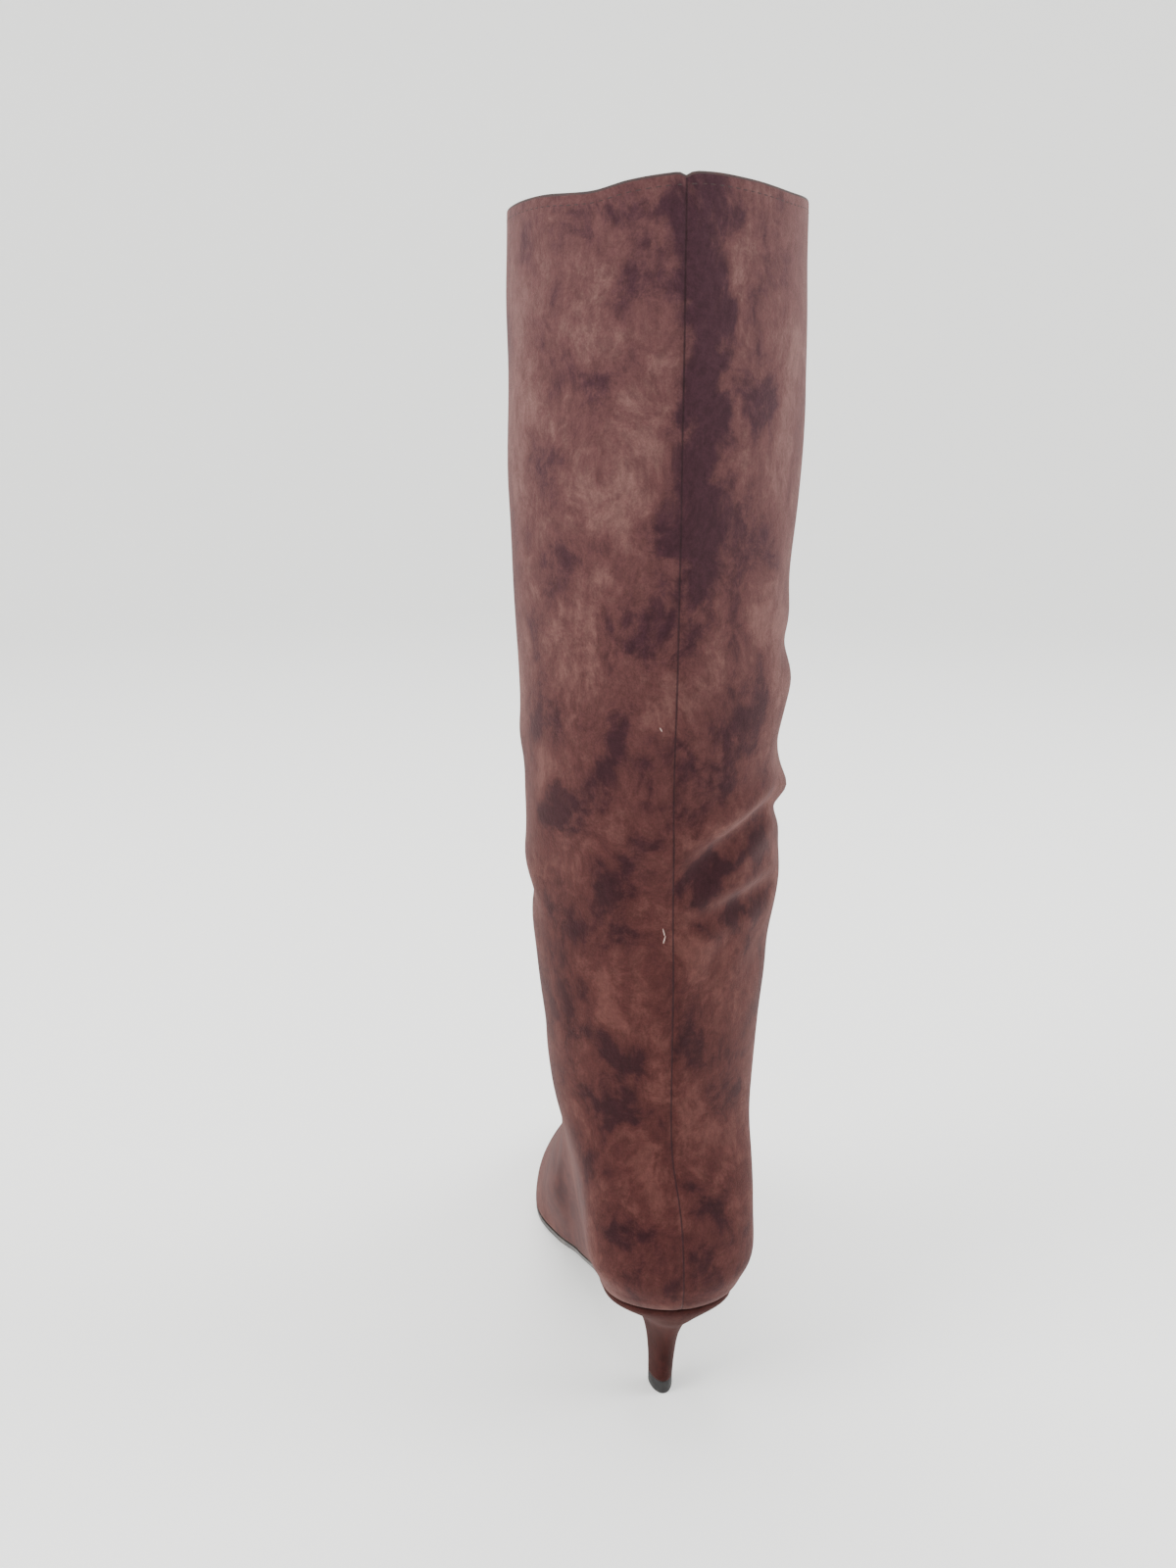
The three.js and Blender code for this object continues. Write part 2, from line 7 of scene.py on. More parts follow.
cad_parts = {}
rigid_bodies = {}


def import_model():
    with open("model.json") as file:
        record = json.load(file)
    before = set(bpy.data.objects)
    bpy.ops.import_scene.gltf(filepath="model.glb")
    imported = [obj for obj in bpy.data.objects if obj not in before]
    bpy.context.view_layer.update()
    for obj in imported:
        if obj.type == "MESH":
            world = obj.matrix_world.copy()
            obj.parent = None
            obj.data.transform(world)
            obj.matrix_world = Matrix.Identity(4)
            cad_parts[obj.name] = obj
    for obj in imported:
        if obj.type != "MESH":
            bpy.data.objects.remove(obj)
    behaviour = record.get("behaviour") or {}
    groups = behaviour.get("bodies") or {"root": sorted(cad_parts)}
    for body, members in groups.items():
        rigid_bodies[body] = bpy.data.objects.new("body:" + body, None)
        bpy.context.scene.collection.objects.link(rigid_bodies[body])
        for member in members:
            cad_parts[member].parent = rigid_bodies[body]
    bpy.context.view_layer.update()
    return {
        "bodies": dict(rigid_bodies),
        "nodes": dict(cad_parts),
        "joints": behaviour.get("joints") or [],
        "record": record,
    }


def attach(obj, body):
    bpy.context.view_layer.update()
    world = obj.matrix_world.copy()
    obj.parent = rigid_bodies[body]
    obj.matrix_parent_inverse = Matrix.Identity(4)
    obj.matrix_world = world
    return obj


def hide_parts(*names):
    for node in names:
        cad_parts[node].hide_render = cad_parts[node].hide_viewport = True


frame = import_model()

mm = 0.001
mergeNear = 0.02 * mm

# shape of the boot, in millimetres: ahead is measured from the back of the heel, up from the floor
boot = {
    "height": 455, "length": 258, "collarWidth": 109, "ballWidth": 79, "heelHeight": 53,
    "toeLean": 14.4, "seatLean": 3.4, "heelFootLean": 0.8, "collarLean": 1.2, "legTwist": 2.4,
    "wall": 1.8, "gap": 0.3, "heelRound": 27, "instepSwell": 0.28, "toeRound": 2.5, "leastHalf": 8,
    "leanStart": 0.35, "leanEnd": 1.25, "legRoundness": 0.58, "archRise": 2.1, "archRoundness": 0.56,
    "ridgeSlope": 6, "footWallShare": 1.15, "toeWallExtra": 0.9, "placeAside": -1.2, "placeAhead": 126.39,
}


def table(names, *rows):
    return [dict(zip(names.split(), row)) for row in rows]


rings = table(
    "backUp backAhead frontUp frontAhead halfWidth foot",
    (1, -0.016, 1, 0.465, 0.483, 0),
    (0.8252, -0.02, 0.8419, 0.467, 0.494, 0),
    (0.6505, -0.008, 0.683, 0.457, 0.475, 0),
    (0.4902, 0.012, 0.5351, 0.44, 0.453, 0),
    (0.3565, 0.036, 0.4088, 0.424, 0.43, 0),
    (0.245, 0.05, 0.3378, 0.415, 0.4, 0),
    (0.1661, 0.05, 0.2774, 0.426, 0.377, 0.15),
    (0.1086, 0.031, 0.2286, 0.485, 0.35, 0.5),
    (0.064, 0.01, 0.1724, 0.581, 0.32, 0.8),
    (0.03, 0.002, 0.1178, 0.686, 0.297, 1),
    (0.0119, 0.006, 0.0678, 0.822, 0.262, 1),
    (0.0043, 0.0125, 0.0231, 0.957, 0.243, 1),
    (0, 0.02, 0, 1, 0.23, 1))
edgeRows = table(
    "ahead up",
    (0, 1.02), (0.19, 0.8), (0.36, 0.44), (0.5, 0.17), (0.61, 0.063), (0.78, 0.06), (0.9, 0.09), (1, 0.15))
outlineRows = table(
    "ahead outer inner",
    (0.02, 0.31, 0.31), (0.12, 0.312, 0.312), (0.24, 0.3, 0.285), (0.39, 0.315, 0.255), (0.51, 0.4, 0.34),
    (0.64, 0.51, 0.465), (0.74, 0.475, 0.45), (0.84, 0.335, 0.33), (0.93, 0.165, 0.165), (1, 0, 0))
heelRows = table(
    "up back front halfWidth",
    (0.76, 0.2, 0.96, 0.44), (0.66, 0.34, 0.91, 0.28), (0.54, 0.43, 0.84, 0.2),
    (0.42, 0.475, 0.78, 0.16), (0.27, 0.5, 0.735, 0.137), (0.112, 0.51, 0.715, 0.126))
lastRing = len(rings) - 1
seatBack = rings[-1]["backAhead"] * boot["length"]


def smooth(low, high, x):
    f = np.clip((x - low) / (high - low), 0, 1)
    return f * f * (3 - 2 * f)


# 1 between the two middle values, falling to 0 at the outer ones
def within(start, full, fading, end, x):
    return smooth(start, full, x) * (1 - smooth(fading, end, x))


def bell(x):
    return np.exp(-x * x)


def mix(a, b, f):
    return a + (b - a) * f


# smooth way from one value to the next, with the slopes at both
def hermite(first, second, firstSlope, secondSlope, f):
    return (first * (2 * f**3 - 3 * f**2 + 1) + firstSlope * (f**3 - 2 * f**2 + f)
            + second * (3 * f**2 - 2 * f**3) + secondSlope * (f**3 - f**2))


def curve(rows, key, column, at):
    xs = np.array([row[key] for row in rows], float) if key else np.arange(len(rows), dtype=float)
    ys = np.array([row[column] for row in rows], float)
    low = np.maximum(np.arange(len(rows)) - 1, 0)
    high = np.minimum(np.arange(len(rows)) + 1, len(rows) - 1)
    slopes = (ys[high] - ys[low]) / (xs[high] - xs[low])
    at = np.asarray(at, float)
    i = np.clip(np.searchsorted(xs, at, side="left") - 1, 0, len(rows) - 2)
    span = xs[i + 1] - xs[i]
    f = np.clip((at - xs[i]) / span, 0, 1)
    return hermite(ys[i], ys[i + 1], slopes[i] * span, slopes[i + 1] * span, f)


# way run along the points of a line, or of each row of points
def runAlong(points):
    steps = np.linalg.norm(np.diff(points, axis=-2), axis=-1)
    return np.concatenate([np.zeros_like(steps[..., :1]), np.cumsum(steps, axis=-1)], axis=-1)


# steps from 0 to 1 that are finer at both ends
def easedSteps(count):
    return (1 - np.cos(np.pi * np.arange(count + 1) / count)) / 2


def edgeUp(ahead):
    return boot["heelHeight"] * curve(edgeRows, "ahead", "up", ahead / boot["length"])


def toeShift(ahead):
    return boot["toeLean"] * smooth(boot["leanStart"], boot["leanEnd"], ahead / boot["length"])


def lean(ahead):
    return -toeShift(ahead) - boot["seatLean"] * (1 - smooth(0.08, 0.36, ahead / boot["length"]))


def upperLean(ahead, up, s, foot):
    level = up / boot["height"]
    twist = boot["legTwist"] * (1 - 2 * s) * smooth(0.3, 0.6, level)
    leg = boot["collarLean"] * smooth(0.3, 0.8, level) + twist - toeShift(ahead)
    return mix(leg, lean(ahead), smooth(0, 0.7, foot))


def plainOutline(ahead, side):
    along = ahead / boot["length"]
    outer, inner = (curve(outlineRows, "ahead", column, along) for column in ("outer", "inner"))
    half = np.maximum(0, np.where(side > 0, outer, inner) * boot["ballWidth"])
    toTip = np.maximum(0, boot["length"] - ahead)
    return np.hypot(half, np.sqrt(2 * boot["toeRound"] * np.minimum(toTip, 4 * boot["toeRound"])))


def roundedBack(ahead):
    f = np.clip((ahead - seatBack) / boot["heelRound"], 0, 1)
    return np.sqrt(1 - (1 - f) ** 2)


def profilePlace(t, end):
    ahead = boot["length"] * curve(rings, None, end + "Ahead", t)
    return ahead, mix(edgeUp(ahead), boot["height"], curve(rings, None, end + "Up", t))


def profilePoint(t, end, inset):
    ahead, up = profilePlace(t, end)
    overAhead, overUp = profilePlace(np.maximum(0, t - 0.02), end)
    underAhead, underUp = profilePlace(np.minimum(lastRing, t + 0.02), end)
    sense = 1 if end == "back" else -1
    run = np.hypot(underAhead - overAhead, underUp - overUp)
    level = smooth(lastRing - 1, lastRing, t)
    extra = 1 + boot["toeWallExtra"] * smooth(lastRing - 1.5, lastRing, t) if end == "front" else 1
    ahead = ahead + mix((overUp - underUp) / run, 1, level) * sense * inset * extra
    return ahead, up + mix((underAhead - overAhead) / run, 0, level) * sense * inset * extra


ridgeAhead, ridgeHeight = profilePlace(np.linspace(6, lastRing, 900), "front")


def ridgeUp(ahead):
    behind = ridgeHeight[0] + (ridgeAhead[0] - ahead) * boot["ridgeSlope"]
    return np.where(ahead < ridgeAhead[0], behind, np.interp(ahead, ridgeAhead, ridgeHeight))


# a point of the upper: ring t from the collar down, share s from back to front, side 1 outer or -1 inner
def upperPoint(t, s, side, inset=0.0):
    t, s, side, inset = np.broadcast_arrays(*(np.asarray(v, float) for v in (t, s, side, inset)))
    foot = curve(rings, None, "foot", t)
    half = boot["collarWidth"] * curve(rings, None, "halfWidth", t)

    def between(back, front):
        ahead = mix(back[0], front[0], s)
        rise = mix(back[1] - edgeUp(back[0]), front[1] - edgeUp(front[0]), s)
        return ahead, mix(mix(back[1], front[1], s), edgeUp(ahead) + rise, smooth(0, 1, foot))

    ahead, up = between(profilePoint(t, "back", inset), profilePoint(t, "front", inset))
    back = profilePoint(t, "back", 0)
    wideAhead, wideUp = between(back, profilePoint(t, "front", 0))
    legHalf = half * np.power(np.clip(4 * s * (1 - s), 0, 1), boot["legRoundness"])
    edge = edgeUp(wideAhead)
    height = np.clip((wideUp - edge) / np.maximum(0.5, ridgeUp(wideAhead) - edge), 0, 1)
    arch = np.power(np.maximum(0, 1 - np.power(height, boot["archRise"])), boot["archRoundness"])
    alongEdge = wideAhead + (seatBack - back[0]) * (1 - s)
    along = alongEdge / boot["length"]
    swell = mix(half / (rings[-1]["halfWidth"] * boot["collarWidth"]), 1, smooth(0.12, 0.42, along))
    overSole = within(0.12, 0.4, 0.42, 0.64, along) * smooth(0, 0.3, height)
    outline = plainOutline(alongEdge, side)
    footHalf = outline * roundedBack(alongEdge) * arch * swell * (1 + boot["instepSwell"] * overSole)
    width = mix(legHalf, np.where(s >= 1, 0, footHalf), foot)
    reference = np.maximum(boot["leastHalf"], mix(half, outline, foot))
    inner = (reference - inset * mix(1, boot["footWallShare"], foot)) / reference
    x = side * width * inner + upperLean(ahead, up, s, foot) + boot["placeAside"]
    return np.stack([x, boot["placeAhead"] - ahead, up], axis=-1)


def zipShare(t, ahead=77):
    back = profilePoint(t, "back", 0)[0]
    return (ahead - back) / (profilePoint(t, "front", 0)[0] - back)


# share of the zip's line on each ring, and what one millimetre adds to it
def zipPlace(t):
    middle = zipShare(t)
    span = np.linalg.norm(upperPoint(t, middle + 0.01, -1) - upperPoint(t, middle - 0.01, -1), axis=-1)
    return middle[:, None], 0.02 / span[:, None]


# ring at which the zip's line is at a height
def zipRing(up):
    low, high = 0.0, float(lastRing)
    for _ in range(40):
        middle = (low + high) / 2
        if upperPoint(middle, zipShare(middle), -1)[2] > up:
            low = middle
        else:
            high = middle
    return (low + high) / 2


# helpers for pieces
def deselectAll():
    if bpy.context.object and bpy.context.object.mode != "OBJECT":
        bpy.ops.object.mode_set(mode="OBJECT")
    bpy.ops.object.select_all(action="DESELECT")


def toMode(mode, selection=None):
    bpy.ops.object.mode_set(mode=mode)
    if selection:
        bpy.ops.mesh.select_all(action=selection)


def makeActive(piece):
    deselectAll()
    piece.select_set(True)
    bpy.context.view_layer.objects.active = piece


# adds and names one primitive, light or camera
def addNew(name, operator, **settings):
    deselectAll()
    operator(**settings)
    made = bpy.context.object
    made.name = name
    return made


def copyOf(source):
    copy = source.copy()
    copy.data = source.data.copy()
    bpy.context.collection.objects.link(copy)
    return copy


# a grid whose points are moved to places, an array of rows x columns x 3 in millimetres
def gridPiece(name, places, uv=None):
    rows, columns = places.shape[:2]
    piece = addNew(name, bpy.ops.mesh.primitive_grid_add, size=1,
                   x_subdivisions=columns - 1, y_subdivisions=rows - 1)
    piece.data.name = name
    piece.data.vertices.foreach_set("co", (places * mm).astype(np.float32).ravel())
    if uv is not None:
        corners = np.empty(len(piece.data.loops), dtype=np.int32)
        piece.data.loops.foreach_get("vertex_index", corners)
        piece.data.uv_layers[0].data.foreach_set("uv", uv.reshape(-1, 2)[corners].astype(np.float32).ravel())
    piece.data.update()
    return piece


def closeUp(piece):
    makeActive(piece)
    toMode("EDIT", "SELECT")
    bpy.ops.mesh.remove_doubles(threshold=mergeNear)
    bpy.ops.mesh.normals_make_consistent(inside=False)
    toMode("OBJECT")
    bpy.ops.object.shade_smooth()
    return piece


# rows of points around a piece, with both ends drawn in to their middles
def closedTube(name, rows):
    first, last = (np.broadcast_to(rows[i].mean(axis=0), rows[i].shape)[None] for i in (0, -1))
    places = np.concatenate([first, rows, last])
    return closeUp(gridPiece(name, np.concatenate([places, places[:, :1]], axis=1)))


def smoothByAngle(piece, degrees):
    makeActive(piece)
    bpy.ops.object.shade_smooth_by_angle(angle=math.radians(degrees))


# leaves the piece in edit mode
def deleteFaces(piece, chosen):
    makeActive(piece)
    toMode("EDIT")
    bpy.ops.mesh.select_mode(type="FACE")
    bpy.ops.mesh.select_all(action="DESELECT")
    toMode("OBJECT")
    piece.data.polygons.foreach_set("select", chosen)
    toMode("EDIT")
    bpy.ops.mesh.delete(type="FACE")
    bpy.ops.mesh.select_mode(type="EDGE")


def finishPiece(piece, material, body, slot, *nodes):
    if material:
        piece.data.materials.append(material)
    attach(piece, body)
    if nodes:
        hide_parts(*nodes)


def applyModifier(piece, kind, **settings):
    makeActive(piece)
    modifier = piece.modifiers.new(kind.lower(), kind)
    for key, value in settings.items():
        setattr(modifier, key, value)
    bpy.ops.object.modifier_apply(modifier=modifier.name)


# copies one small piece to many frames, each copy with its own mesh, and joins them
def copiesAlong(source, frames, name):
    copies = [copyOf(source) for _ in frames]
    bpy.data.objects.remove(source, do_unlink=True)
    deselectAll()
    for copy, matrix in zip(copies, frames):
        copy.data.transform(matrix)
        copy.select_set(True)
    bpy.context.view_layer.objects.active = copies[0]
    bpy.ops.object.join()
    piece = bpy.context.object
    piece.name = name
    piece.data.name = name
    return piece


# materials
def feed(tree, socket, value):
    if isinstance(value, bpy.types.NodeSocket):
        tree.links.new(value, socket)
    else:
        socket.default_value = value


def addNode(tree, kind, values=None, **attributes):
    node = tree.nodes.new(kind)
    for key, value in attributes.items():
        setattr(node, key, value)
    for key, value in (values or {}).items():
        feed(tree, node.inputs[key], value)
    return node


def setInputs(tree, node, **values):
    for key, value in values.items():
        feed(tree, node.inputs[key.replace("_", " ")], value)


def mathNode(tree, operation, *values):
    return addNode(tree, "ShaderNodeMath", dict(enumerate(values)), operation=operation).outputs[0]


def ramp(tree, value, low, high, toLow=0.0, toHigh=1.0):
    values = {"Value": value, "From Min": low, "From Max": high, "To Min": toLow, "To Max": toHigh}
    return addNode(tree, "ShaderNodeMapRange", values, interpolation_type="SMOOTHSTEP").outputs[0]


def mixColour(tree, factor, first, second, blend="MIX"):
    values = {0: factor, 6: first, 7: second}
    return addNode(tree, "ShaderNodeMix", values, data_type="RGBA", blend_type=blend).outputs[2]


def stretch(tree, vector, *scale):
    return addNode(tree, "ShaderNodeVectorMath", {0: vector, 1: scale}, operation="MULTIPLY").outputs[0]


def noise(tree, vector, scale, detail, roughness=0.5, distortion=0.0, output="Fac"):
    values = {"Vector": vector, "Scale": scale, "Detail": detail,
              "Roughness": roughness, "Distortion": distortion}
    return addNode(tree, "ShaderNodeTexNoise", values).outputs[output]


def bump(tree, height, strength, distance):
    values = {"Height": height, "Strength": strength, "Distance": distance}
    return addNode(tree, "ShaderNodeBump", values).outputs[0]


def objectPlace(tree):
    return addNode(tree, "ShaderNodeTexCoord").outputs["Object"]


def linear(r, g, b):
    def channel(v):
        v /= 255
        return v / 12.92 if v <= 0.04045 else ((v + 0.055) / 1.055) ** 2.4
    return (channel(r), channel(g), channel(b), 1)


def newGroup(name, scales, outputs):
    group = bpy.data.node_groups.new(name, "ShaderNodeTree")
    addSocket = group.interface.new_socket
    addSocket(name="Place", in_out="INPUT", socket_type="NodeSocketVector")
    for socket in scales:
        addSocket(name=socket, in_out="INPUT", socket_type="NodeSocketFloat")
    for socket in outputs:
        addSocket(name=socket, in_out="OUTPUT", socket_type="NodeSocketFloat")
    return group, group.nodes.new("NodeGroupInput").outputs, group.nodes.new("NodeGroupOutput")


# brushed nap: big soft patches with cloudy edges, short streaks down the leg, a fine pile for the bump
def buildNapGroup():
    scales = ("Patch", "Cloud", "Streak", "Grain", "Pile")
    group, given, end = newGroup("brushedNap", scales, ("Blend", "Grain", "Pile"))
    place = given["Place"]
    wander = stretch(group, noise(group, place, 30.0, 3.0, output="Color"), 0.02, 0.02, 0.03)
    warped = addNode(group, "ShaderNodeVectorMath", {0: place, 1: wander}, operation="ADD").outputs[0]
    patches = noise(group, stretch(group, warped, 1, 1, 0.8), given["Patch"], 3.0)
    clouds = noise(group, warped, given["Cloud"], 6.0, 0.72)
    streaks = noise(group, stretch(group, place, 1, 1, 0.4), given["Streak"], 4.0, 0.6, 0.7)
    pile = noise(group, place, given["Pile"], 3.0, 0.7)
    grain = noise(group, stretch(group, warped, 1, 1, 0.6), given["Grain"], 5.0, 0.75)
    shares = ((patches, 0.32, 0.7, 0.4), (clouds, 0.3, 0.7, 0.38), (streaks, 0.32, 0.68, 0.24))
    parts = [mathNode(group, "MULTIPLY", ramp(group, value, low, high), weight)
             for value, low, high, weight in shares]
    blend = mathNode(group, "ADD", mathNode(group, "ADD", parts[0], parts[1]), parts[2])
    setInputs(group, end, Blend=blend, Grain=grain, Pile=pile)
    return group


# woven cloth: over and under threads from two crossed waves
def buildWeaveGroup():
    group, given, end = newGroup("clothWeave", ("Thread",), ("Height", "Shade"))
    values = {"Vector": given["Place"], "Scale": given["Thread"], "Distortion": 0.4, "Detail": 1.0}
    waves = [addNode(group, "ShaderNodeTexWave", values, wave_type="BANDS", bands_direction=way)
             for way in ("X", "Y")]
    height = mathNode(group, "MAXIMUM", *(wave.outputs["Fac"] for wave in waves))
    cloudy = mathNode(group, "MULTIPLY", noise(group, given["Place"], 30.0, 4.0), 0.6)
    shade = mathNode(group, "ADD", mathNode(group, "MULTIPLY", height, 0.5), cloudy)
    setInputs(group, end, Height=height, Shade=shade)
    return group


napGroup = buildNapGroup()
weaveGroup = buildWeaveGroup()


def newMaterial(name, roughness, **shaderValues):
    material = bpy.data.materials.new(name)
    material.use_nodes = True
    shader = material.node_tree.nodes["Principled BSDF"]
    setInputs(material.node_tree, shader, Roughness=roughness, **shaderValues)
    return material, material.node_tree, shader


suedeLook = {
    "dark": linear(52, 31, 38), "middle": linear(79, 51, 51), "light": linear(100, 72, 69),
    "seam": linear(38, 24, 28), "napAndPaintedShade": 0.46,
    "scales": {"Patch": 38, "Cloud": 135, "Streak": 80, "Grain": 420, "Pile": 1500},
    # footPaintedShade is painted shade: it makes the foot darker and warmer, fading out between footTop and
    # tintTop
    "footPaintedShade": (0.6, 0.42, 0.39, 1), "footTop": 0.17, "tintTop": 0.44, "footContrast": 1.5,
    "seamHalf": 0.0005, "sheen": 0.24, "sheenTint": linear(206, 170, 164),
}
# painted shade: the heel's suede is the leg's suede painted darker and redder, as the heel stands in shadow
shadedHeelLook = {
    **suedeLook, "dark": linear(32, 13, 12), "middle": linear(47, 20, 18), "light": linear(61, 30, 27),
    "sheen": 0.12,
}


# suede of the leg and the heel; the leg adds its brushed patches with painted shade and highlight among them,
# its seams, and painted shade that makes the foot darker and warmer
def suedeMaterial(name, look, leg):
    material, tree, shader = newMaterial(name, 0.95, Sheen_Weight=look["sheen"], Sheen_Roughness=0.45,
                                         Sheen_Tint=look["sheenTint"], Specular_IOR_Level=0.12)
    values = {"Place": objectPlace(tree), **look["scales"]}
    blend, grain, pile = addNode(tree, "ShaderNodeGroup", values, node_tree=napGroup).outputs
    height = mathNode(tree, "ADD", pile, mathNode(tree, "MULTIPLY", grain, 0.8))
    if leg:
        uv = addNode(tree, "ShaderNodeUVMap", uv_map="UVMap").outputs[0]
        around, level, _ = addNode(tree, "ShaderNodeSeparateXYZ", {0: uv}).outputs
        # this attribute holds the listed nap patches with the painted shade and highlight among them
        hand = addNode(tree, "ShaderNodeAttribute", attribute_name="napAndPaintedShade").outputs["Fac"]
        front = addNode(tree, "ShaderNodeAttribute", attribute_name="frontAway").outputs["Fac"]
        blend = mathNode(tree, "ADD", blend, mathNode(tree, "MULTIPLY", hand, look["napAndPaintedShade"]))
        contrast = ramp(tree, level, look["footTop"], look["tintTop"], look["footContrast"], 1.0)
        fromMiddle = mathNode(tree, "SUBTRACT", blend, 0.5)
        blend = mathNode(tree, "ADD", mathNode(tree, "MULTIPLY", fromMiddle, contrast), 0.5)
        toSeam = mathNode(tree, "MINIMUM", mathNode(tree, "ABSOLUTE", around), front)
        seam = ramp(tree, toSeam, look["seamHalf"] * 0.3, look["seamHalf"], 1.0, 0.0)
        height = mathNode(tree, "SUBTRACT", height, mathNode(tree, "MULTIPLY", seam, 1.2))
    low = mixColour(tree, ramp(tree, blend, -0.05, 0.5), look["dark"], look["middle"])
    colour = mixColour(tree, ramp(tree, blend, 0.45, 1.05), low, look["light"])
    if leg:
        # painted shade: darker and warmer towards the foot
        upTheLeg = ramp(tree, level, look["footTop"], look["tintTop"])
        paintedFootShade = mixColour(tree, upTheLeg, look["footPaintedShade"], (1, 1, 1, 1))
        colour = mixColour(tree, 1.0, colour, paintedFootShade, "MULTIPLY")
        colour = mixColour(tree, mathNode(tree, "MULTIPLY", seam, 0.75), colour, look["seam"])
    grainShade = ramp(tree, grain, 0.32, 0.68, 0.82, 1.18)
    pileShade = mathNode(tree, "MULTIPLY", ramp(tree, pile, 0.25, 0.75, 0.84, 1.14), grainShade)
    shaded = addNode(tree, "ShaderNodeHueSaturation", {"Color": colour, "Value": pileShade}).outputs[0]
    setInputs(tree, shader, Base_Color=shaded, Normal=bump(tree, height, 0.4, 0.0006))
    return material


def clothMaterial(name, dark, light, threadScale, strength):
    material, tree, shader = newMaterial(name, 0.9, Sheen_Weight=0.15)
    values = {"Place": objectPlace(tree), "Thread": threadScale}
    height, shade = addNode(tree, "ShaderNodeGroup", values, node_tree=weaveGroup).outputs
    setInputs(tree, shader, Base_Color=mixColour(tree, shade, dark, light),
              Normal=bump(tree, height, strength, 0.0003))
    return material


def scuffedMaterial(name, dark, light, roughness, metallic=0.0, scale=120.0, bumpStrength=0.1):
    material, tree, shader = newMaterial(name, roughness, Metallic=metallic)
    place = objectPlace(tree)
    wear = noise(tree, place, scale, 6.0, 0.65)
    setInputs(tree, shader, Base_Color=mixColour(tree, ramp(tree, wear, 0.42, 0.68), dark, light),
              Roughness=ramp(tree, wear, 0.35, 0.7, roughness - 0.1, roughness + 0.12),
              Normal=bump(tree, noise(tree, place, scale * 12, 2.0), bumpStrength, 0.0002))
    return material


legSuede = suedeMaterial("legSuede", suedeLook, True)
# the heel's material is the suede with painted shade in its colours
shadedHeelSuede = suedeMaterial("shadedHeelSuede", shadedHeelLook, False)
liningCloth = clothMaterial("liningCloth", linear(62, 46, 42), linear(96, 76, 70), 500.0, 0.3)
collarEdge = scuffedMaterial("collarEdge", linear(44, 28, 28), linear(66, 44, 42), 0.85)
soleRubber = scuffedMaterial("soleRubber", linear(46, 42, 40), linear(92, 86, 81), 0.62)
tipRubber = scuffedMaterial("tipRubber", linear(11, 9, 9), linear(22, 18, 18), 0.6)
insoleCloth = clothMaterial("insoleCloth", linear(70, 54, 48), linear(104, 84, 76), 420.0, 0.25)
zipCloth = clothMaterial("zipCloth", linear(40, 27, 27), linear(62, 44, 42), 900.0, 0.5)
zipMetal = scuffedMaterial("zipMetal", linear(66, 57, 53), linear(90, 80, 74), 0.36, 1.0, 260.0, 0.05)
teethLook = scuffedMaterial("zipTeeth", linear(46, 32, 30), linear(66, 49, 46), 0.45, scale=500.0)
threadLook = scuffedMaterial("thread", linear(44, 27, 28), linear(60, 38, 38), 0.9, scale=900.0)
lintLook = scuffedMaterial("lint", linear(150, 122, 116), linear(186, 160, 152), 0.9, scale=900.0)
print("materials made")

# upper: leg and foot in one shell
upper = {
    "sideColumns": 104, "slotColumns": 4, "outerRows": 330, "innerRows": 120, "rimRows": 7,
    "slotTop": 233, "slotBottom": 48, "slotWidth": 5.4, "lipRound": 1.6,
    "seamDeep": 0.35, "seamWide": 0.8, "notchDeep": 1.0, "notchWide": 1.4, "mostIn": 4.0,
    "ridgeAway": 3.2, "ridgeWide": 1.8, "ridgeHigh": 0.25,
    "calmByZip": 11, "waveFrom": 372, "liningOver": 1.25, "backShare": 0.47,
}

# folds: around is the way from the back seam (outer side +), up and turned place them,
# deep is how far the trough goes in, puff how much of that stands up beside it, in mm and degrees
folds = table(
    "around up turned long wide deep puff bow",
    (-72, 328, 0, 60, 18, 1.5, 0, 0),  # the inner side draws in below the calf
    (-72, 306, -4, 44, 6.5, 1.9, 0.15, 0),  # and has a notch with a small puff under it
    (-72, 291, 0, 40, 8, -1.3, 0, 0),
    (-70, 267, -6, 46, 10, 2.1, 0.1, 0),
    (-70, 251, 3, 40, 6, -1.9, 0, 0),
    (-34, 237, -17, 76, 4.8, 3.6, 0.6, 9),  # diagonal towards the back seam
    (-16, 228, -26, 36, 5, 1.4, 0.3, 3),
    (-68, 241, 4, 34, 4.5, 2.4, 0.3, 0),
    (-66, 214, 0, 50, 16, -2.6, 0, 0),
    (-32, 211, -6, 62, 4.4, 2.6, 0.6, 4),  # nearly level one below it
    (-48, 186, -10, 44, 8, 0.8, 0.4, 3),
    (-22, 194, -58, 46, 6.5, 0.9, 0.5, 3),
    (14, 224, 66, 40, 6, 1, 0.5, 2),
    (30, 176, -52, 62, 7, 1, 0.6, 4),
    (44, 240, -62, 54, 8, 0.8, 0.5, 3),
    (-124, 240, -8, 66, 6.5, 2.2, 0.6, 4),  # across the shin
    (108, 262, 14, 64, 7, 2.2, 0.6, -4),
    (-112, 196, 22, 52, 6.5, 1.8, 0.6, 4),
    (106, 178, -20, 60, 6.5, 2.2, 0.6, -4),
    (84, 208, 16, 58, 7, 1.6, 0.6, 4),
    (-96, 150, 28, 46, 7, 1.4, 0.5, 4),
    (92, 148, -26, 50, 7, 1.8, 0.5, -4),
    (-132, 392, 86, 96, 8, 2, 0.4, 4),  # slack upright fold under the collar
    (96, 396, 80, 70, 14, 0.9, 0.4, 4),
    (-84, 352, 76, 80, 15, 0.9, 0.4, -4))
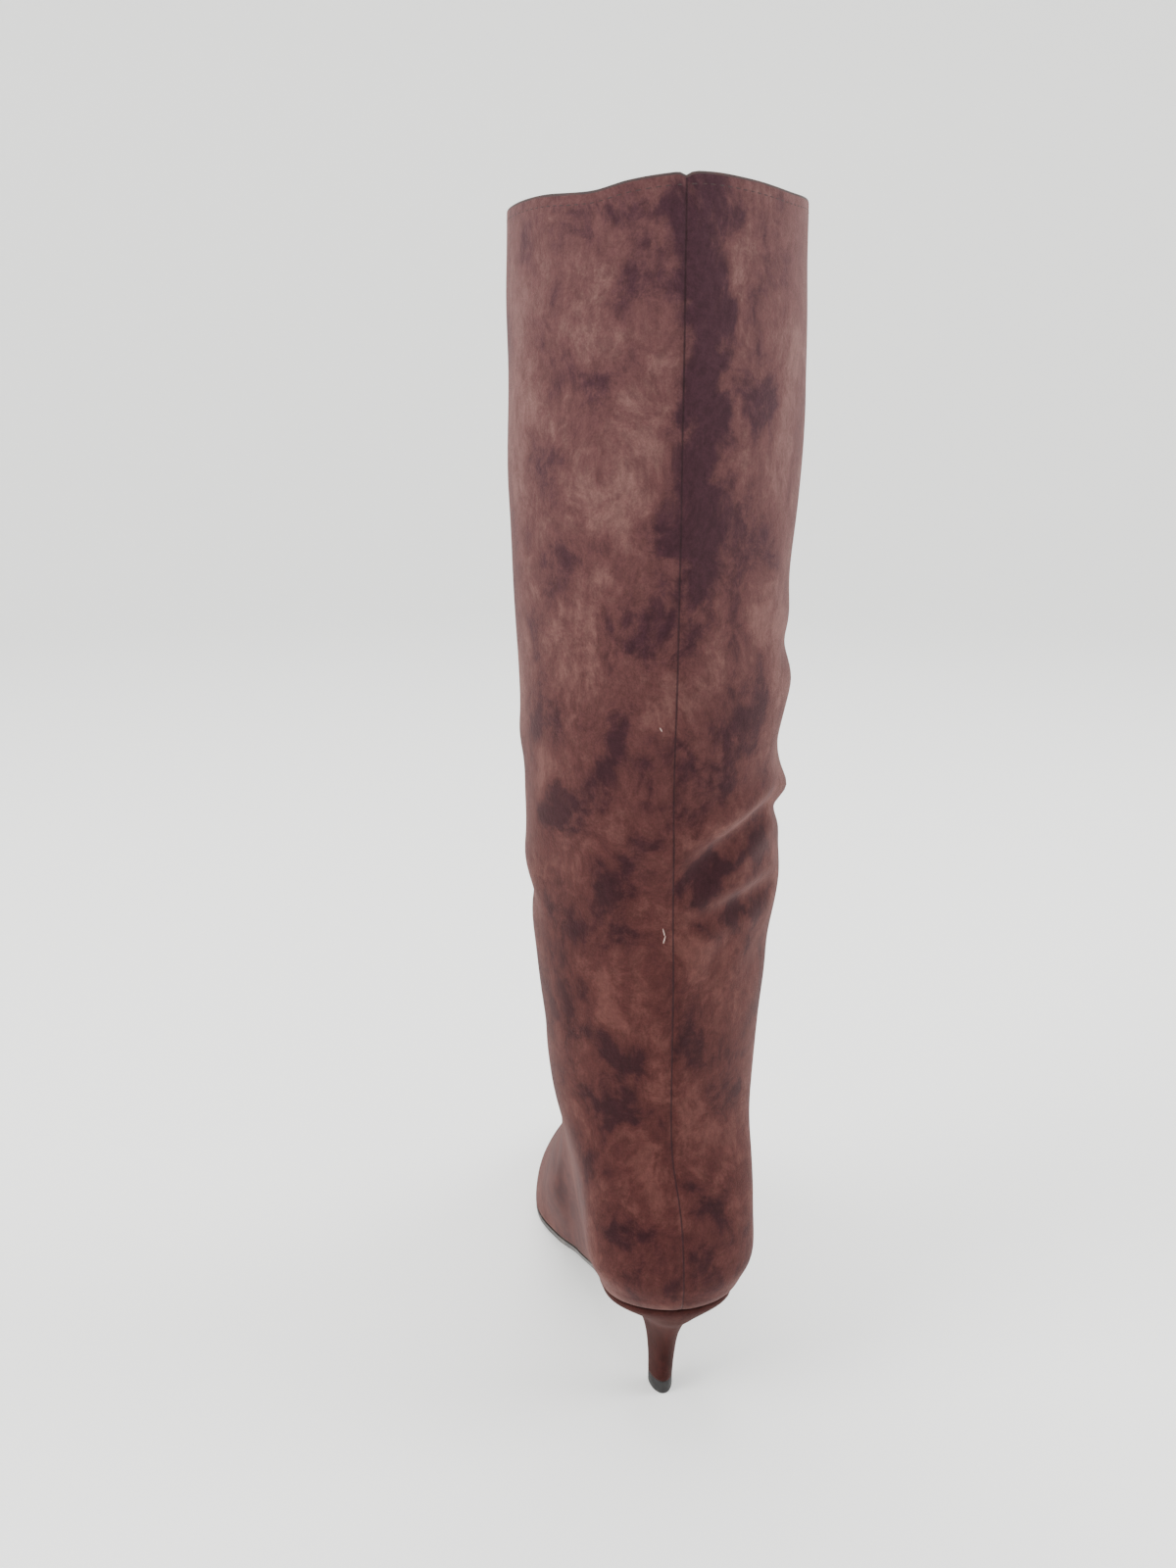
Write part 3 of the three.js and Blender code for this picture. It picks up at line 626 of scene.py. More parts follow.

# patches where a hand has brushed the nap, with some rows of painted shade and highlight among them, noted
# below: shade below 0 is darker, above it lighter
napNames = "around up wide tall turned shade"
napAndShadePatches = table(
    napNames,
    # the first rows, close to the back seam high on the leg, make a darker band beside it: partly darker nap,
    # partly painted shade where the suede faces the camera
    (-7, 440, 11, 26, 0, -1.2), (-8, 408, 9.5, 24, 2, -1.35), (-8, 378, 10, 18, 3, -1.2),
    (-2, 356, 14, 12, 0, -1.2), (-5, 338, 10, 13, 4, -0.85), (-3, 318, 6, 16, 0, -0.5),
    (4, 436, 4, 16, 0, -0.6), (-31, 384, 9, 13, 10, -0.8), (-26, 418, 6, 9, 0, -0.6),
    (-28, 404, 5, 6, 20, -0.6), (-27, 336, 20, 13, -16, -0.6), (-20, 422, 3, 20, 4, 0.7),
    (-19, 384, 4, 16, -10, 0.65), (-48, 400, 9, 22, 4, 0.45), (24, 447, 10, 4, 0, -0.6),
    (54, 441, 18, 7, 0, -0.5), (14, 424, 9, 7, 0, -0.5), (18, 408, 11, 4, 24, 0.5),
    (30, 396, 12, 8, -14, -0.35), (36, 408, 18, 5, 18, 0.45), (51, 366, 14, 9, -12, -0.6),
    (38, 338, 18, 10, -36, -0.8), (16, 318, 11, 12, -40, -0.75), (22, 352, 10, 16, -30, 0.6),
    # the first two rows here are painted highlight: light strips down the outer side near its edge as seen
    # from the camera
    (64, 392, 10, 26, 0, 0.5), (68, 326, 7, 46, 0, 0.6), (54, 276, 12, 9, 12, -0.8),
    (46, 250, 12, 7, -24, -0.9), (30, 262, 8, 6, 30, -0.5), (19, 280, 12, 10, -16, -0.45),
    (34, 292, 14, 6, 20, 0.45), (24, 224, 10, 12, -36, -0.7), (10, 240, 6, 8, 20, -0.55),
    (22, 205, 16, 10, -12, -0.7), (38, 206, 8, 12, 0, -0.6), (26, 172, 5, 20, -30, 0.55),
    (18, 154, 9, 8, 0, -0.75), (34, 160, 8, 6, 30, -0.5), (-10, 157, 8, 10, 20, -0.85),
    (-24, 131, 9, 10, -10, -0.8), (24, 131, 20, 8, -8, -0.6), (-8, 131, 3, 12, 0, 0.5),
    (-13, 94, 10, 12, -30, -0.9), (26, 86, 24, 8, 6, -0.55), (9, 112, 6, 14, 0, 0.4),
    (38, 108, 7, 9, 0, -0.4), (-24, 108, 6, 10, 16, 0.4), (-13, 190, 10, 12, 14, 0.4),
    (-28, 282, 18, 8, -6, -0.75), (-18, 266, 8, 6, 30, -0.5), (-42, 318, 12, 8, 0, 0.4),
    # the last two rows of this line and the first three of the next are painted shade in the troughs of the
    # diagonal folds and a painted highlight on the ridge above them
    (-18, 300, 8, 7, -20, 0.35), (-34, 231, 24, 4.5, -10, -0.95), (-11, 223, 11, 6, -44, -1),
    (-34, 207, 24, 3.6, -6, -0.8), (-10, 208, 7, 4, -24, -0.9), (-30, 246, 24, 3.5, -12, 0.55),
    (-52, 292, 8, 9, 0, 0.4), (-96, 300, 12, 30, 8, -0.5), (-118, 214, 16, 18, 24, -0.5),
    (116, 340, 10, 44, 0, -0.55), (104, 220, 14, 16, 12, 0.4), (-78, 130, 16, 11, 0, 0.4),
    (84, 118, 16, 10, 24, -0.5), (110, 96, 18, 10, 0, 0.35), (-112, 90, 18, 11, -12, -0.5),
    (88, 416, 14, 12, 0, -0.5), (92, 290, 10, 16, -24, -0.45), (-86, 398, 12, 18, 12, -0.45),
    (-104, 356, 10, 16, 0, 0.4), (80, 176, 12, 16, 30, -0.5), (-64, 160, 10, 18, -16, -0.45),
    (74, 62, 22, 9, 10, -0.45), (-60, 60, 18, 8, -10, -0.5))

# patches beside the front seam, the first rows a darker band along it: around is the way from it (outer side
# +)
frontPatches = table(
    napNames,
    (-5, 404, 9, 44, 0, -1.1), (-6, 320, 8, 48, 0, -1.1), (-6, 240, 9, 40, 2, -1.1),
    (-8, 176, 9, 30, 4, -1.1), (-12, 128, 12, 18, 10, -0.8), (4, 420, 5, 26, 0, -0.7),
    (5, 300, 4, 30, 0, -0.5), (26, 392, 10, 16, 12, -0.5), (22, 250, 14, 9, -16, -0.5),
    (-26, 330, 8, 22, 0, 0.45), (24, 190, 16, 12, 20, -0.4), (20, 330, 7, 24, -8, 0.45),
    (-30, 200, 10, 14, -24, 0.45), (26, 96, 18, 10, 30, -0.5), (-20, 84, 10, 8, -30, 0.4),
    (-24, 60, 8, 6, 0, -0.8), (16, 62, 12, 8, 24, 0.4), (30, 44, 14, 6, 20, -0.5),
    (8, 36, 8, 5, 30, -0.5), (-10, 28, 8, 5, -20, 0.35))


def bandPlaces(row, around, up):
    angle = math.radians(row["turned"])
    dx, dz = around - row["around"], up - row["up"]
    return dx * math.cos(angle) + dz * math.sin(angle), -dx * math.sin(angle) + dz * math.cos(angle)


def foldDepth(around, up):
    push = np.zeros_like(around)
    for fold in folds:
        along, across = bandPlaces(fold, around, up)
        reach = np.clip(1 - (2 * along / fold["long"]) ** 2, 0, 1)
        q = (across - fold["bow"] * reach * 0.5) / fold["wide"]
        ridges = bell((q - 1.9) / 1.1) + 0.4 * bell((q + 1.9) / 1.1)
        push += reach ** 1.5 * fold["deep"] * (fold["puff"] * ridges - bell(q))
    # slow unevenness of soft suede on an empty leg
    slack = smooth(70, 200, up)
    push += slack * 0.45 * np.sin(around * 0.061 + 0.9) * np.sin(up * 0.043 + around * 0.02)
    push += slack * 0.3 * np.sin(around * 0.11 + up * 0.031 + 2.0) * np.sin(up * 0.083 - 1.1)
    return push


# ragged patches: the places wander a few millimetres before each patch is laid down
def napShade(rows, around, up):
    wideWander = 2.6 * np.sin(up * 0.19 + np.sin(around * 0.13) * 2) + 1.5 * np.sin(up * 0.47 + around * 0.31)
    tallWander = 3.0 * np.sin(around * 0.23 + np.sin(up * 0.11) * 2) + 1.6 * np.sin(around * 0.53 - up * 0.29)
    shade = np.zeros_like(around)
    for patch in rows:
        along, across = bandPlaces(patch, around + wideWander, up + tallWander)
        away = (along / patch["wide"]) ** 2 + (across / patch["tall"]) ** 2
        shade += patch["shade"] * np.exp(-away ** 1.7)
    return shade


# the collar's edge isn't level: heights by the way around from the back seam
waveRows = table(
    "around rise",
    (-170, 0.4), (-130, -1.6), (-100, 0.6), (-72, 1.7), (-46, 0.2), (-22, 1), (-8, 1.5), (4, 0.8),
    (18, -0.8), (31, -2.9), (52, -1.6), (80, -0.9), (105, 0.4), (140, -1.2), (170, 0.4))


# 1 on the back or the front seam, falling to 0 beside it
def nearSeam(around, girth, wide):
    toSeam = np.minimum(np.abs(around), np.abs(np.abs(around) - girth))
    return bell(toSeam / wide)


def collarWave(around, girth, level):
    rise = curve(waveRows, "around", "rise", around)
    notches = upper["notchDeep"] * nearSeam(around, girth, upper["notchWide"])
    return (rise - notches) * smooth(upper["waveFrom"], boot["height"], level)


# columns from the front seam along the inner side to the back seam and along the outer side again
def shareColumns(t):
    count, slots = upper["sideColumns"], upper["slotColumns"]
    middle, step = zipPlace(t)
    reach = upper["slotWidth"] / 2 * step
    backCount = int(count * upper["backShare"])
    frontCount = count - backCount - slots
    back = (middle - reach) * easedSteps(backCount)
    slot = middle - reach + 2 * reach * np.arange(1, slots) / slots
    front = middle + reach + (1 - middle - reach) * easedSteps(frontCount)
    inner = np.concatenate([back, slot, front], axis=1)
    outer = np.repeat(easedSteps(count)[None, :], len(t), axis=0)
    s = np.concatenate([inner[:, ::-1], outer[:, 1:]], axis=1)
    side = np.concatenate([-np.ones(inner.shape[1]), np.ones(count)])
    return s, np.repeat(side[None, :], len(t), axis=0), (frontCount, frontCount + slots)


# outward direction of the plain upper
def outward(t, s, side):
    s = np.clip(s, 0.004, 0.996)
    up = np.minimum(t + 0.01, lastRing)
    around = upperPoint(t, s + 0.002, side) - upperPoint(t, s - 0.002, side)
    around *= np.asarray(side)[..., None]
    down = upperPoint(up, s, side) - upperPoint(up - 0.02, s, side)
    normal = np.cross(around, down)
    return normal / np.maximum(1e-9, np.linalg.norm(normal, axis=-1, keepdims=True))


# way around from the back seam, and from the zip's line, of points on rows t with shares s
def aroundPlaces(t, s, side):
    eased = easedSteps(160)
    around, toZip, girth = np.zeros_like(s), np.zeros_like(s), np.zeros((len(t), 1))
    for sign in (-1, 1):
        run = runAlong(upperPoint(t[:, None], eased[None, :], sign))
        for i in range(len(t)):
            here = side[i] == sign
            around[i, here] = sign * np.interp(s[i, here], eased, run[i])
            if sign < 0:
                girth[i] = run[i, -1]
                toZip[i] = -np.interp(float(zipShare(t[i])), eased, run[i])
    return around, around - toZip, girth


def pushOf(around, toZip, girth, level, t):
    push = foldDepth(around, level) * smooth(60, 110, level) * (1 - 0.8 * smooth(425, 452, level))
    push *= 1 - within(20, 60, 240, 262, level) * bell(toZip / upper["calmByZip"])
    seams = upper["seamDeep"] * nearSeam(around, girth, upper["seamWide"])
    ridge = upper["ridgeHigh"] * bell((np.abs(around) - upper["ridgeAway"]) / upper["ridgeWide"])
    push = np.where(push < 0, -upper["mostIn"] * np.tanh(-push / upper["mostIn"]), push)
    return push + (ridge - seams) * smooth(lastRing, lastRing - 0.6, t)


# a point on the upper with its folds, and the outward direction there
def skin(t, s, side, inset):
    around, toZip, girth = aroundPlaces(t, s, side)
    plain = upperPoint(t[:, None], s, side)
    points = upperPoint(t[:, None], s, side, inset)
    normal = outward(np.broadcast_to(t[:, None], s.shape), s, side)
    push = pushOf(around, toZip, girth, plain[..., 2], t[:, None])
    points = points + normal * push[..., None]
    points[..., 2] += collarWave(around, girth, plain[..., 2])
    return points, normal


# share of half the wall by which the slot's lips and the lower edge are rolled in
def rollIn(toZip, t, slotTopRing, slotBottomRing):
    toSlot = np.maximum(0, np.abs(toZip) - upper["slotWidth"] / 2)
    inRange = within(slotTopRing - 0.05, slotTopRing, slotBottomRing, slotBottomRing + 0.05, t)
    roll = 1 - np.clip(toSlot / upper["lipRound"], 0, 1)
    lip = inRange[:, None] * (1 - np.sqrt(np.clip(1 - roll ** 2, 0, 1)))
    foot = smooth(lastRing - 0.35, lastRing, t)[:, None] ** 3
    return np.maximum(lip, foot * 0.8) * 0.95


# takes out the faces over the zip's slot and bridges its two walls
def cutSlot(piece, overSlot):
    deleteFaces(piece, overSlot)
    bpy.ops.mesh.select_all(action="SELECT")
    bpy.ops.mesh.remove_doubles(threshold=mergeNear)
    bpy.ops.mesh.select_all(action="DESELECT")
    bpy.ops.mesh.select_non_manifold(extend=False, use_wire=False, use_boundary=True, use_multi_face=False,
                                     use_non_contiguous=False, use_verts=False)
    bpy.ops.mesh.bridge_edge_loops()
    closeUp(piece)


def makeUpper():
    slotTopRing, slotBottomRing = zipRing(upper["slotTop"]), zipRing(upper["slotBottom"])
    outerT = np.linspace(0.014, lastRing, upper["outerRows"])
    innerT = np.linspace(lastRing, 0.014, upper["innerRows"])
    rimAngle = np.linspace(0, math.pi, upper["rimRows"] + 2)[1:-1]
    t = np.concatenate([innerT, np.zeros(upper["rimRows"]), outerT])
    half = boot["wall"] / 2
    none, most = np.zeros(len(outerT)), np.full(len(innerT), boot["wall"])
    inset = np.concatenate([most, half + half * np.cos(rimAngle), none])
    rimDrop = np.concatenate([0 * most, half * np.sin(rimAngle) - half, none])
    s, side, slot = shareColumns(t)
    outside = upperPoint(t[:, None], s, side)
    run = runAlong(outside)
    around = run - run[:, upper["sideColumns"]:upper["sideColumns"] + 1]
    girth = -around[:, :1]
    middle = (slot[0] + slot[1]) // 2
    toZip = around - around[:, middle:middle + 1]
    outerWall = inset[:, None] < half
    roll = np.where(outerWall, half, -half) * rollIn(toZip, t, slotTopRing, slotBottomRing)
    points = upperPoint(t[:, None], s, side, inset[:, None] + roll)
    level = outside[..., 2]
    push = pushOf(around, toZip, girth, level, t[:, None])
    # the lining bridges the sharper troughs
    push = np.where(outerWall | (push > 0), push, push * upper["liningOver"])
    points = points + outward(np.broadcast_to(t[:, None], s.shape), s, side) * push[..., None]
    points[..., 2] += rimDrop[:, None] + collarWave(around, girth, level)
    # both ends of every row meet at the front seam, and the last row closes on the first
    points[:, 0] = points[:, -1] = (points[:, 0] + points[:, -1]) / 2
    points = np.concatenate([points, points[:1]])
    uv = np.stack([around, level], axis=-1) * mm
    piece = gridPiece("suedeUpper", points, np.concatenate([uv, uv[:1]]))
    frontAway = girth - np.abs(around)
    shade = napShade(napAndShadePatches, around, level) + napShade(frontPatches, frontAway * side, level)
    for name, values in (("napAndPaintedShade", shade), ("frontAway", frontAway * mm)):
        values = np.concatenate([values, values[:1]]).astype(np.float32)
        piece.data.attributes.new(name, "FLOAT", "POINT").data.foreach_set("value", values.ravel())
    # wall faces inside, rim faces, and the faces over the zip's slot
    rows, columns = len(t), s.shape[1] - 1
    rowOf, columnOf = np.divmod(np.arange(rows * columns), columns)
    rimStart, rimEnd = len(innerT) - 1, len(innerT) + upper["rimRows"]
    materialIndex = np.where(rowOf < rimStart - 3, 1, 0)
    materialIndex = np.where((rowOf >= rimStart) & (rowOf < rimEnd), 2, materialIndex)
    for material in (legSuede, liningCloth, collarEdge):
        piece.data.materials.append(material)
    piece.data.polygons.foreach_set("material_index", materialIndex.astype(np.int32))
    nextT = t[np.minimum(rowOf + 1, rows - 1)]
    overSlot = ((columnOf >= slot[0]) & (columnOf < slot[1])
                & (np.minimum(t[rowOf], nextT) >= slotTopRing - 0.01)
                & (np.maximum(t[rowOf], nextT) <= slotBottomRing + 0.01))
    cutSlot(piece, overSlot)
    finishPiece(piece, None, "boot", "suede", "upper")


makeUpper()
print("upper made")

# heel and its top lift
heel = {
    "breastAhead": 48, "seatRim": 1.6, "liftHeight": 5.6, "backPoints": 22, "breastPoints": 12, "levels": 64,
}


# around the heel's edge: the way ahead, the share of the half width, and the side
def heelPath():
    turn = (math.pi / 2) * np.arange(heel["backPoints"] + 1) / heel["backPoints"]
    breast = 1 - np.arange(1, heel["breastPoints"] + 1) / heel["breastPoints"]
    f = np.append(1 - np.cos(turn), np.ones(len(breast)))
    across = np.append(np.ones(len(turn)), breast)
    sides = np.append(np.ones(len(f)), -np.ones(len(f) - 2))
    return np.append(f, f[-2:0:-1]), np.append(across, across[-2:0:-1]), sides


def softened(ring, times):
    for _ in range(times):
        ring = (np.roll(ring, 1, axis=0) + 2 * ring + np.roll(ring, -1, axis=0)) / 4
    return ring


def heelRing(ahead, half, up, middle, across, sides):
    ring = np.stack([sides * half * across + middle + boot["placeAside"], boot["placeAhead"] - ahead,
                     np.broadcast_to(up, ahead.shape)], axis=-1)
    return softened(ring, 2)


def neckLevel(row, up=None):
    f, across, sides = heelPath()
    ahead = heel["breastAhead"] * mix(row["back"], row["front"], f)
    half = row["halfWidth"] * boot["ballWidth"] / 2 * np.sqrt(1 - (1 - f) ** 2)
    tilt = smooth(0.3, 0.8, row["up"])
    if up is None:
        up = row["up"] * boot["heelHeight"] + tilt * (edgeUp(ahead) - edgeUp(heel["breastAhead"] * 0.5))
    middle = -mix(boot["heelFootLean"], boot["seatLean"], row["up"])
    return heelRing(ahead, half, up, middle, across, sides)


def seatLevel(drop, drawIn=0.0):
    f, across, sides = heelPath()
    ahead = mix(seatBack, heel["breastAhead"], f)
    half = np.maximum(0, plainOutline(ahead, sides) * roundedBack(ahead) - drawIn)
    ahead = ahead + drawIn * (1 - f) - drawIn * f
    return heelRing(ahead, half, edgeUp(ahead) - boot["gap"] - drop, lean(ahead), across, sides)


def makeHeel():
    knots = np.stack([seatLevel(heel["seatRim"])] + [neckLevel(row) for row in heelRows])
    slopes = np.gradient(knots, axis=0)
    slopes[0] = np.array([0, 0, -1]) * np.linalg.norm(knots[1] - knots[0], axis=1, keepdims=True) * 0.5
    levels = [seatLevel(0.5, 0.7), seatLevel(0.15, 0.25), seatLevel(0.45)]
    for at in np.linspace(0, len(knots) - 1, heel["levels"]):
        i = min(int(at), len(knots) - 2)
        levels.append(hermite(knots[i], knots[i + 1], slopes[i], slopes[i + 1], at - i))
    finishPiece(closedTube("suedeHeel", np.stack(levels)), shadedHeelSuede, "boot", "suede", "heel")
    plan, top = neckLevel(heelRows[-1], 0.0), heel["liftHeight"]
    centre = plan.mean(axis=0)
    lift = [centre + (plan - centre) * grow + np.array([0, 0, up])
            for up, grow in ((top, 0.97), (top - 0.2, 1.0), (0.9, 1.0), (0.25, 0.97), (0.0, 0.92))]
    finishPiece(closedTube("heelLift", np.stack(lift)), tipRubber, "boot", "tip_rubber", "heel_tip")


makeHeel()
print("heel made")

# outsole: thin under the forefoot and waist, rounded at its lower edge
outsole = {"thick": 3.0, "waistThick": 2.2, "bevel": 0.9, "drawIn": 0.2, "short": 0.6, "stations": 150}


def makeOutsole():
    f = np.arange(outsole["stations"] + 1) / outsole["stations"]
    ahead = mix(heel["breastAhead"] + boot["gap"], boot["length"] - outsole["short"], np.sin(math.pi / 2 * f))
    shrink = outsole["drawIn"] * np.minimum(1, (boot["length"] - ahead) / boot["heelRound"])
    outer, inner = (np.maximum(0.4, plainOutline(ahead, sign) * roundedBack(ahead) - shrink)
                    for sign in (1.0, -1.0))
    top = edgeUp(ahead) - boot["gap"]
    thick = mix(outsole["waistThick"], outsole["thick"], smooth(0.3, 0.55, ahead / boot["length"]))
    bottom = np.maximum(0, top - thick)
    bevel = np.minimum(outsole["bevel"], np.minimum(outer, inner) * 0.4)
    x = lean(ahead) + boot["placeAside"]
    angles = [math.radians(a) for a in (0, 22, 45, 68, 90)]
    corner = [(bevel * (1 - math.cos(a)), bottom + outsole["bevel"] * (1 - math.sin(a))) for a in angles]
    columns = [(mix(-inner, outer, k / 8), top) for k in range(9)]
    columns += [(outer - dx, z) for dx, z in corner]
    columns += [(mix(outer - bevel, bevel - inner, k / 8), bottom) for k in range(1, 8)]
    columns += [(dx - inner, z) for dx, z in corner[::-1]]
    y = boot["placeAhead"] - ahead
    places = np.stack([np.stack([x + dx, y, z], axis=-1) for dx, z in columns], axis=1)
    piece = closedTube("soleSheet", places)
    smoothByAngle(piece, 40)
    finishPiece(piece, soleRubber, "boot", "sole_rubber", "outsole")


makeOutsole()
print("outsole made")

# insole: a cushioned sock that follows the upper's lower edge
insole = {"thick": 2.4, "gap": 0.9, "short": 12.6, "stations": 120, "crown": 0.5, "edgeDrop": 0.7}


def makeInsole():
    drawIn = boot["wall"] + insole["gap"]
    back, front = (profilePoint(float(lastRing), end, drawIn)[0] for end in ("back", "front"))
    s = np.maximum(0.001, (1 - insole["short"] / (front - back)) * easedSteps(insole["stations"]))
    outer, inner = (upperPoint(float(lastRing), s, sign, drawIn) for sign in (1.0, -1.0))
    base = edgeUp(boot["placeAhead"] - outer[:, 1])
    across = np.arange(11) / 10
    drop = np.where((across == 0) | (across == 1), insole["edgeDrop"], 0)
    rises = insole["thick"] + insole["crown"] * (1 - (2 * across - 1) ** 2) - drop
    columns = []
    for f, rise in zip([*across, 1.0, 0.5, 0.0], [*rises, 0, 0, 0]):
        point = mix(inner, outer, f)
        point[:, 2] = base + rise
        columns.append(point)
    piece = closedTube("sockInsole", np.stack(columns, axis=1))
    finishPiece(piece, insoleCloth, "boot", "insole_cloth", "insole")


makeInsole()
print("insole made")

# zip: tape, teeth, stops, slider and pull
zipper = {
    "tapeTop": 235, "tapeBottom": 46, "tapeWidth": 17, "tapeDeep": 2.1, "tapeThick": 0.9,
    "pitch": 1.5, "teethFromEnds": 1.5, "toothSize": (2.5, 0.85, 0.8), "toothBevel": 0.26, "toothDeep": 0.35,
    "apart": 0.62, "openApart": 0.75, "sliderUp": 222.9, "sliderBevel": 0.3, "pullBevel": 0.22,
    "stopFromTop": 0.8, "stopFromBottom": 0.9, "stopSize": (4.4, 1.5, 1.1), "stopBevel": 0.35,
    "stopDeep": 0.2, "stitchAway": 2.2, "stitchStep": 3.0, "stitchLong": 2.2, "stitchThick": 0.5,
    "stitchDeep": -0.05, "stitchPastTop": 4, "stitchPastBottom": 3,
}


# shares beside the zip's line at a distance in millimetres, forward of it +
def besideZip(t, away):
    middle, step = zipPlace(t)
    return middle + np.asarray(away, float)[None, :] * step


def evenRings(top, bottom, step):
    t = np.linspace(zipRing(top), zipRing(bottom), 400)
    run = runAlong(upperPoint(t, zipShare(t), -1))
    return np.interp(np.arange(0, run[-1], step), run, t)


def makeZipTape():
    t = np.linspace(zipRing(zipper["tapeTop"]), zipRing(zipper["tapeBottom"]), 120)
    away = np.linspace(-zipper["tapeWidth"] / 2, zipper["tapeWidth"] / 2, 9)
    s = besideZip(t, away)
    side = -np.ones_like(s)
    front = skin(t, s, side, zipper["tapeDeep"])[0]
    back = skin(t, s, side, zipper["tapeDeep"] + zipper["tapeThick"])[0][:, ::-1]
    piece = closedTube("zipTape", np.concatenate([front, back], axis=1))
    finishPiece(piece, zipCloth, "boot", "zip_cloth", "zip_tape")


# frames that lie on the upper: first axis along the row, second across it, third outwards
def framesOn(points, normals, along):
    frames = []
    for point, normal, way in zip(points, normals, along):
        out = Vector(normal).normalized()
        first = Vector(way)
        first = (first - out * first.dot(out)).normalized()
        second = out.cross(first)
        frame = Matrix((first, second, out)).transposed().to_4x4()
        frame.translation = Vector(point) * mm
        frames.append(frame)
    return frames


def smallBlock(name, size, bevel, segments=1):
    block = addNew(name, bpy.ops.mesh.primitive_cube_add, size=1)
    block.scale = [v * mm for v in size]
    bpy.ops.object.transform_apply(location=False, rotation=False, scale=True)
    applyModifier(block, "BEVEL", width=bevel * mm, segments=segments, limit_method="NONE")
    return block


def stitchShape(name, long, thick):
    stitch = addNew(name, bpy.ops.mesh.primitive_uv_sphere_add, segments=7, ring_count=6, radius=1)
    stitch.rotation_euler = (0, math.pi / 2, 0)
    bpy.ops.object.transform_apply(location=False, rotation=True, scale=False)
    stitch.scale = (long / 2 * mm, thick / 2 * mm, thick * 0.36 * mm)
    bpy.ops.object.transform_apply(location=False, rotation=False, scale=True)
    bpy.ops.object.shade_smooth()
    return stitch


# one line of the folded upper: its points and outward directions
def skinLine(t, s, sign, inset):
    points, normals = skin(t, s, np.full_like(s, sign), inset)
    return points.reshape(-1, 3), normals.reshape(-1, 3)


def stitchFrames(t, s, sign, inset):
    points, normals = skinLine(t, s, sign, inset)
    return framesOn(points, normals, np.gradient(points, axis=0))


def makeStitches(name, long, thick, frames):
    piece = copiesAlong(stitchShape("stitch", long, thick), frames, name)
    finishPiece(piece, threadLook, "boot", "suede")


def makeTeeth():
    gap = zipper["teethFromEnds"]
    t = evenRings(upper["slotTop"] - gap, upper["slotBottom"] + gap, zipper["pitch"] / 2)
    frames = []
    for offset in (-1, 1):
        rows = t[(0 if offset < 0 else 1)::2]
        up = upperPoint(rows, zipShare(rows), -1)[:, 2]
        spread = zipper["apart"] + zipper["openApart"] * smooth(zipper["sliderUp"] + 4, upper["slotTop"], up)
        middle, step = zipPlace(rows)
        s = middle + offset * spread[:, None] * step
        points, normals = skinLine(rows, s, -1.0, zipper["toothDeep"])
        frames += framesOn(points, normals, np.cross(np.gradient(points, axis=0), normals))
    tooth = smallBlock("tooth", zipper["toothSize"], zipper["toothBevel"])
    piece = copiesAlong(tooth, frames, "zipTeeth")
    smoothByAngle(piece, 35)
    finishPiece(piece, teethLook, "boot", "zip_metal", "zip_tape")


def makeStops():
    rows = np.array([zipRing(upper["slotTop"] - zipper["stopFromTop"]),
                     zipRing(upper["slotBottom"] + zipper["stopFromBottom"])])
    points, normals = skinLine(rows, besideZip(rows, [0.0]), -1.0, zipper["stopDeep"])
    frames = framesOn(points, normals, np.cross(np.array([[0, 0, 1.0]] * 2), normals))
    piece = copiesAlong(smallBlock("stop", zipper["stopSize"], zipper["stopBevel"], 2), frames, "zipStops")
    smoothByAngle(piece, 35)
    finishPiece(piece, zipMetal, "boot", "zip_metal")


# the slider and the pull keep their solids' form, with their edges rounded
def roundedCopy(node, name, width):
    copy = copyOf(frame["nodes"][node])
    copy.name = copy.data.name = name
    copy.parent = None
    copy.matrix_world = Matrix.Identity(4)
    makeActive(copy)
    copy.data.materials.clear()
    toMode("EDIT", "SELECT")
    bpy.ops.mesh.remove_doubles(threshold=0.00001)
    bpy.ops.mesh.dissolve_limited(angle_limit=math.radians(2))
    toMode("OBJECT")
    applyModifier(copy, "BEVEL", width=width * mm, segments=2, limit_method="ANGLE",
                  angle_limit=math.radians(50))
    smoothByAngle(copy, 40)
    return copy


def makeZipMetal():
    slider = roundedCopy("zip_slider", "zipSlider", zipper["sliderBevel"])
    finishPiece(slider, zipMetal, "boot", "zip_metal", "zip_slider")
    pull = roundedCopy("zip_pull", "zipPull", zipper["pullBevel"])
    finishPiece(pull, zipMetal, "pull", "zip_metal", "zip_pull")


def makeZipStitches():
    frames = []
    top = upper["slotTop"] + zipper["stitchPastTop"]
    bottom = upper["slotBottom"] - zipper["stitchPastBottom"]
    t = evenRings(top, bottom, zipper["stitchStep"])
    for sense in (-1, 1):
        s = besideZip(t, [sense * (upper["slotWidth"] / 2 + zipper["stitchAway"])])
        frames += stitchFrames(t, s, -1.0, zipper["stitchDeep"])
    makeStitches("zipStitches", zipper["stitchLong"], zipper["stitchThick"], frames)


makeZipTape()
makeTeeth()
makeStops()
makeZipMetal()
makeZipStitches()
print("zip made")

# collar stitching, just below the folded edge
collarStitches = {
    "below": 4.2, "nextRingUp": 0.83, "start": 2.4, "stop": 1.5,
    "step": 3.1, "long": 2.3, "thick": 0.5, "deep": 0.1,
}


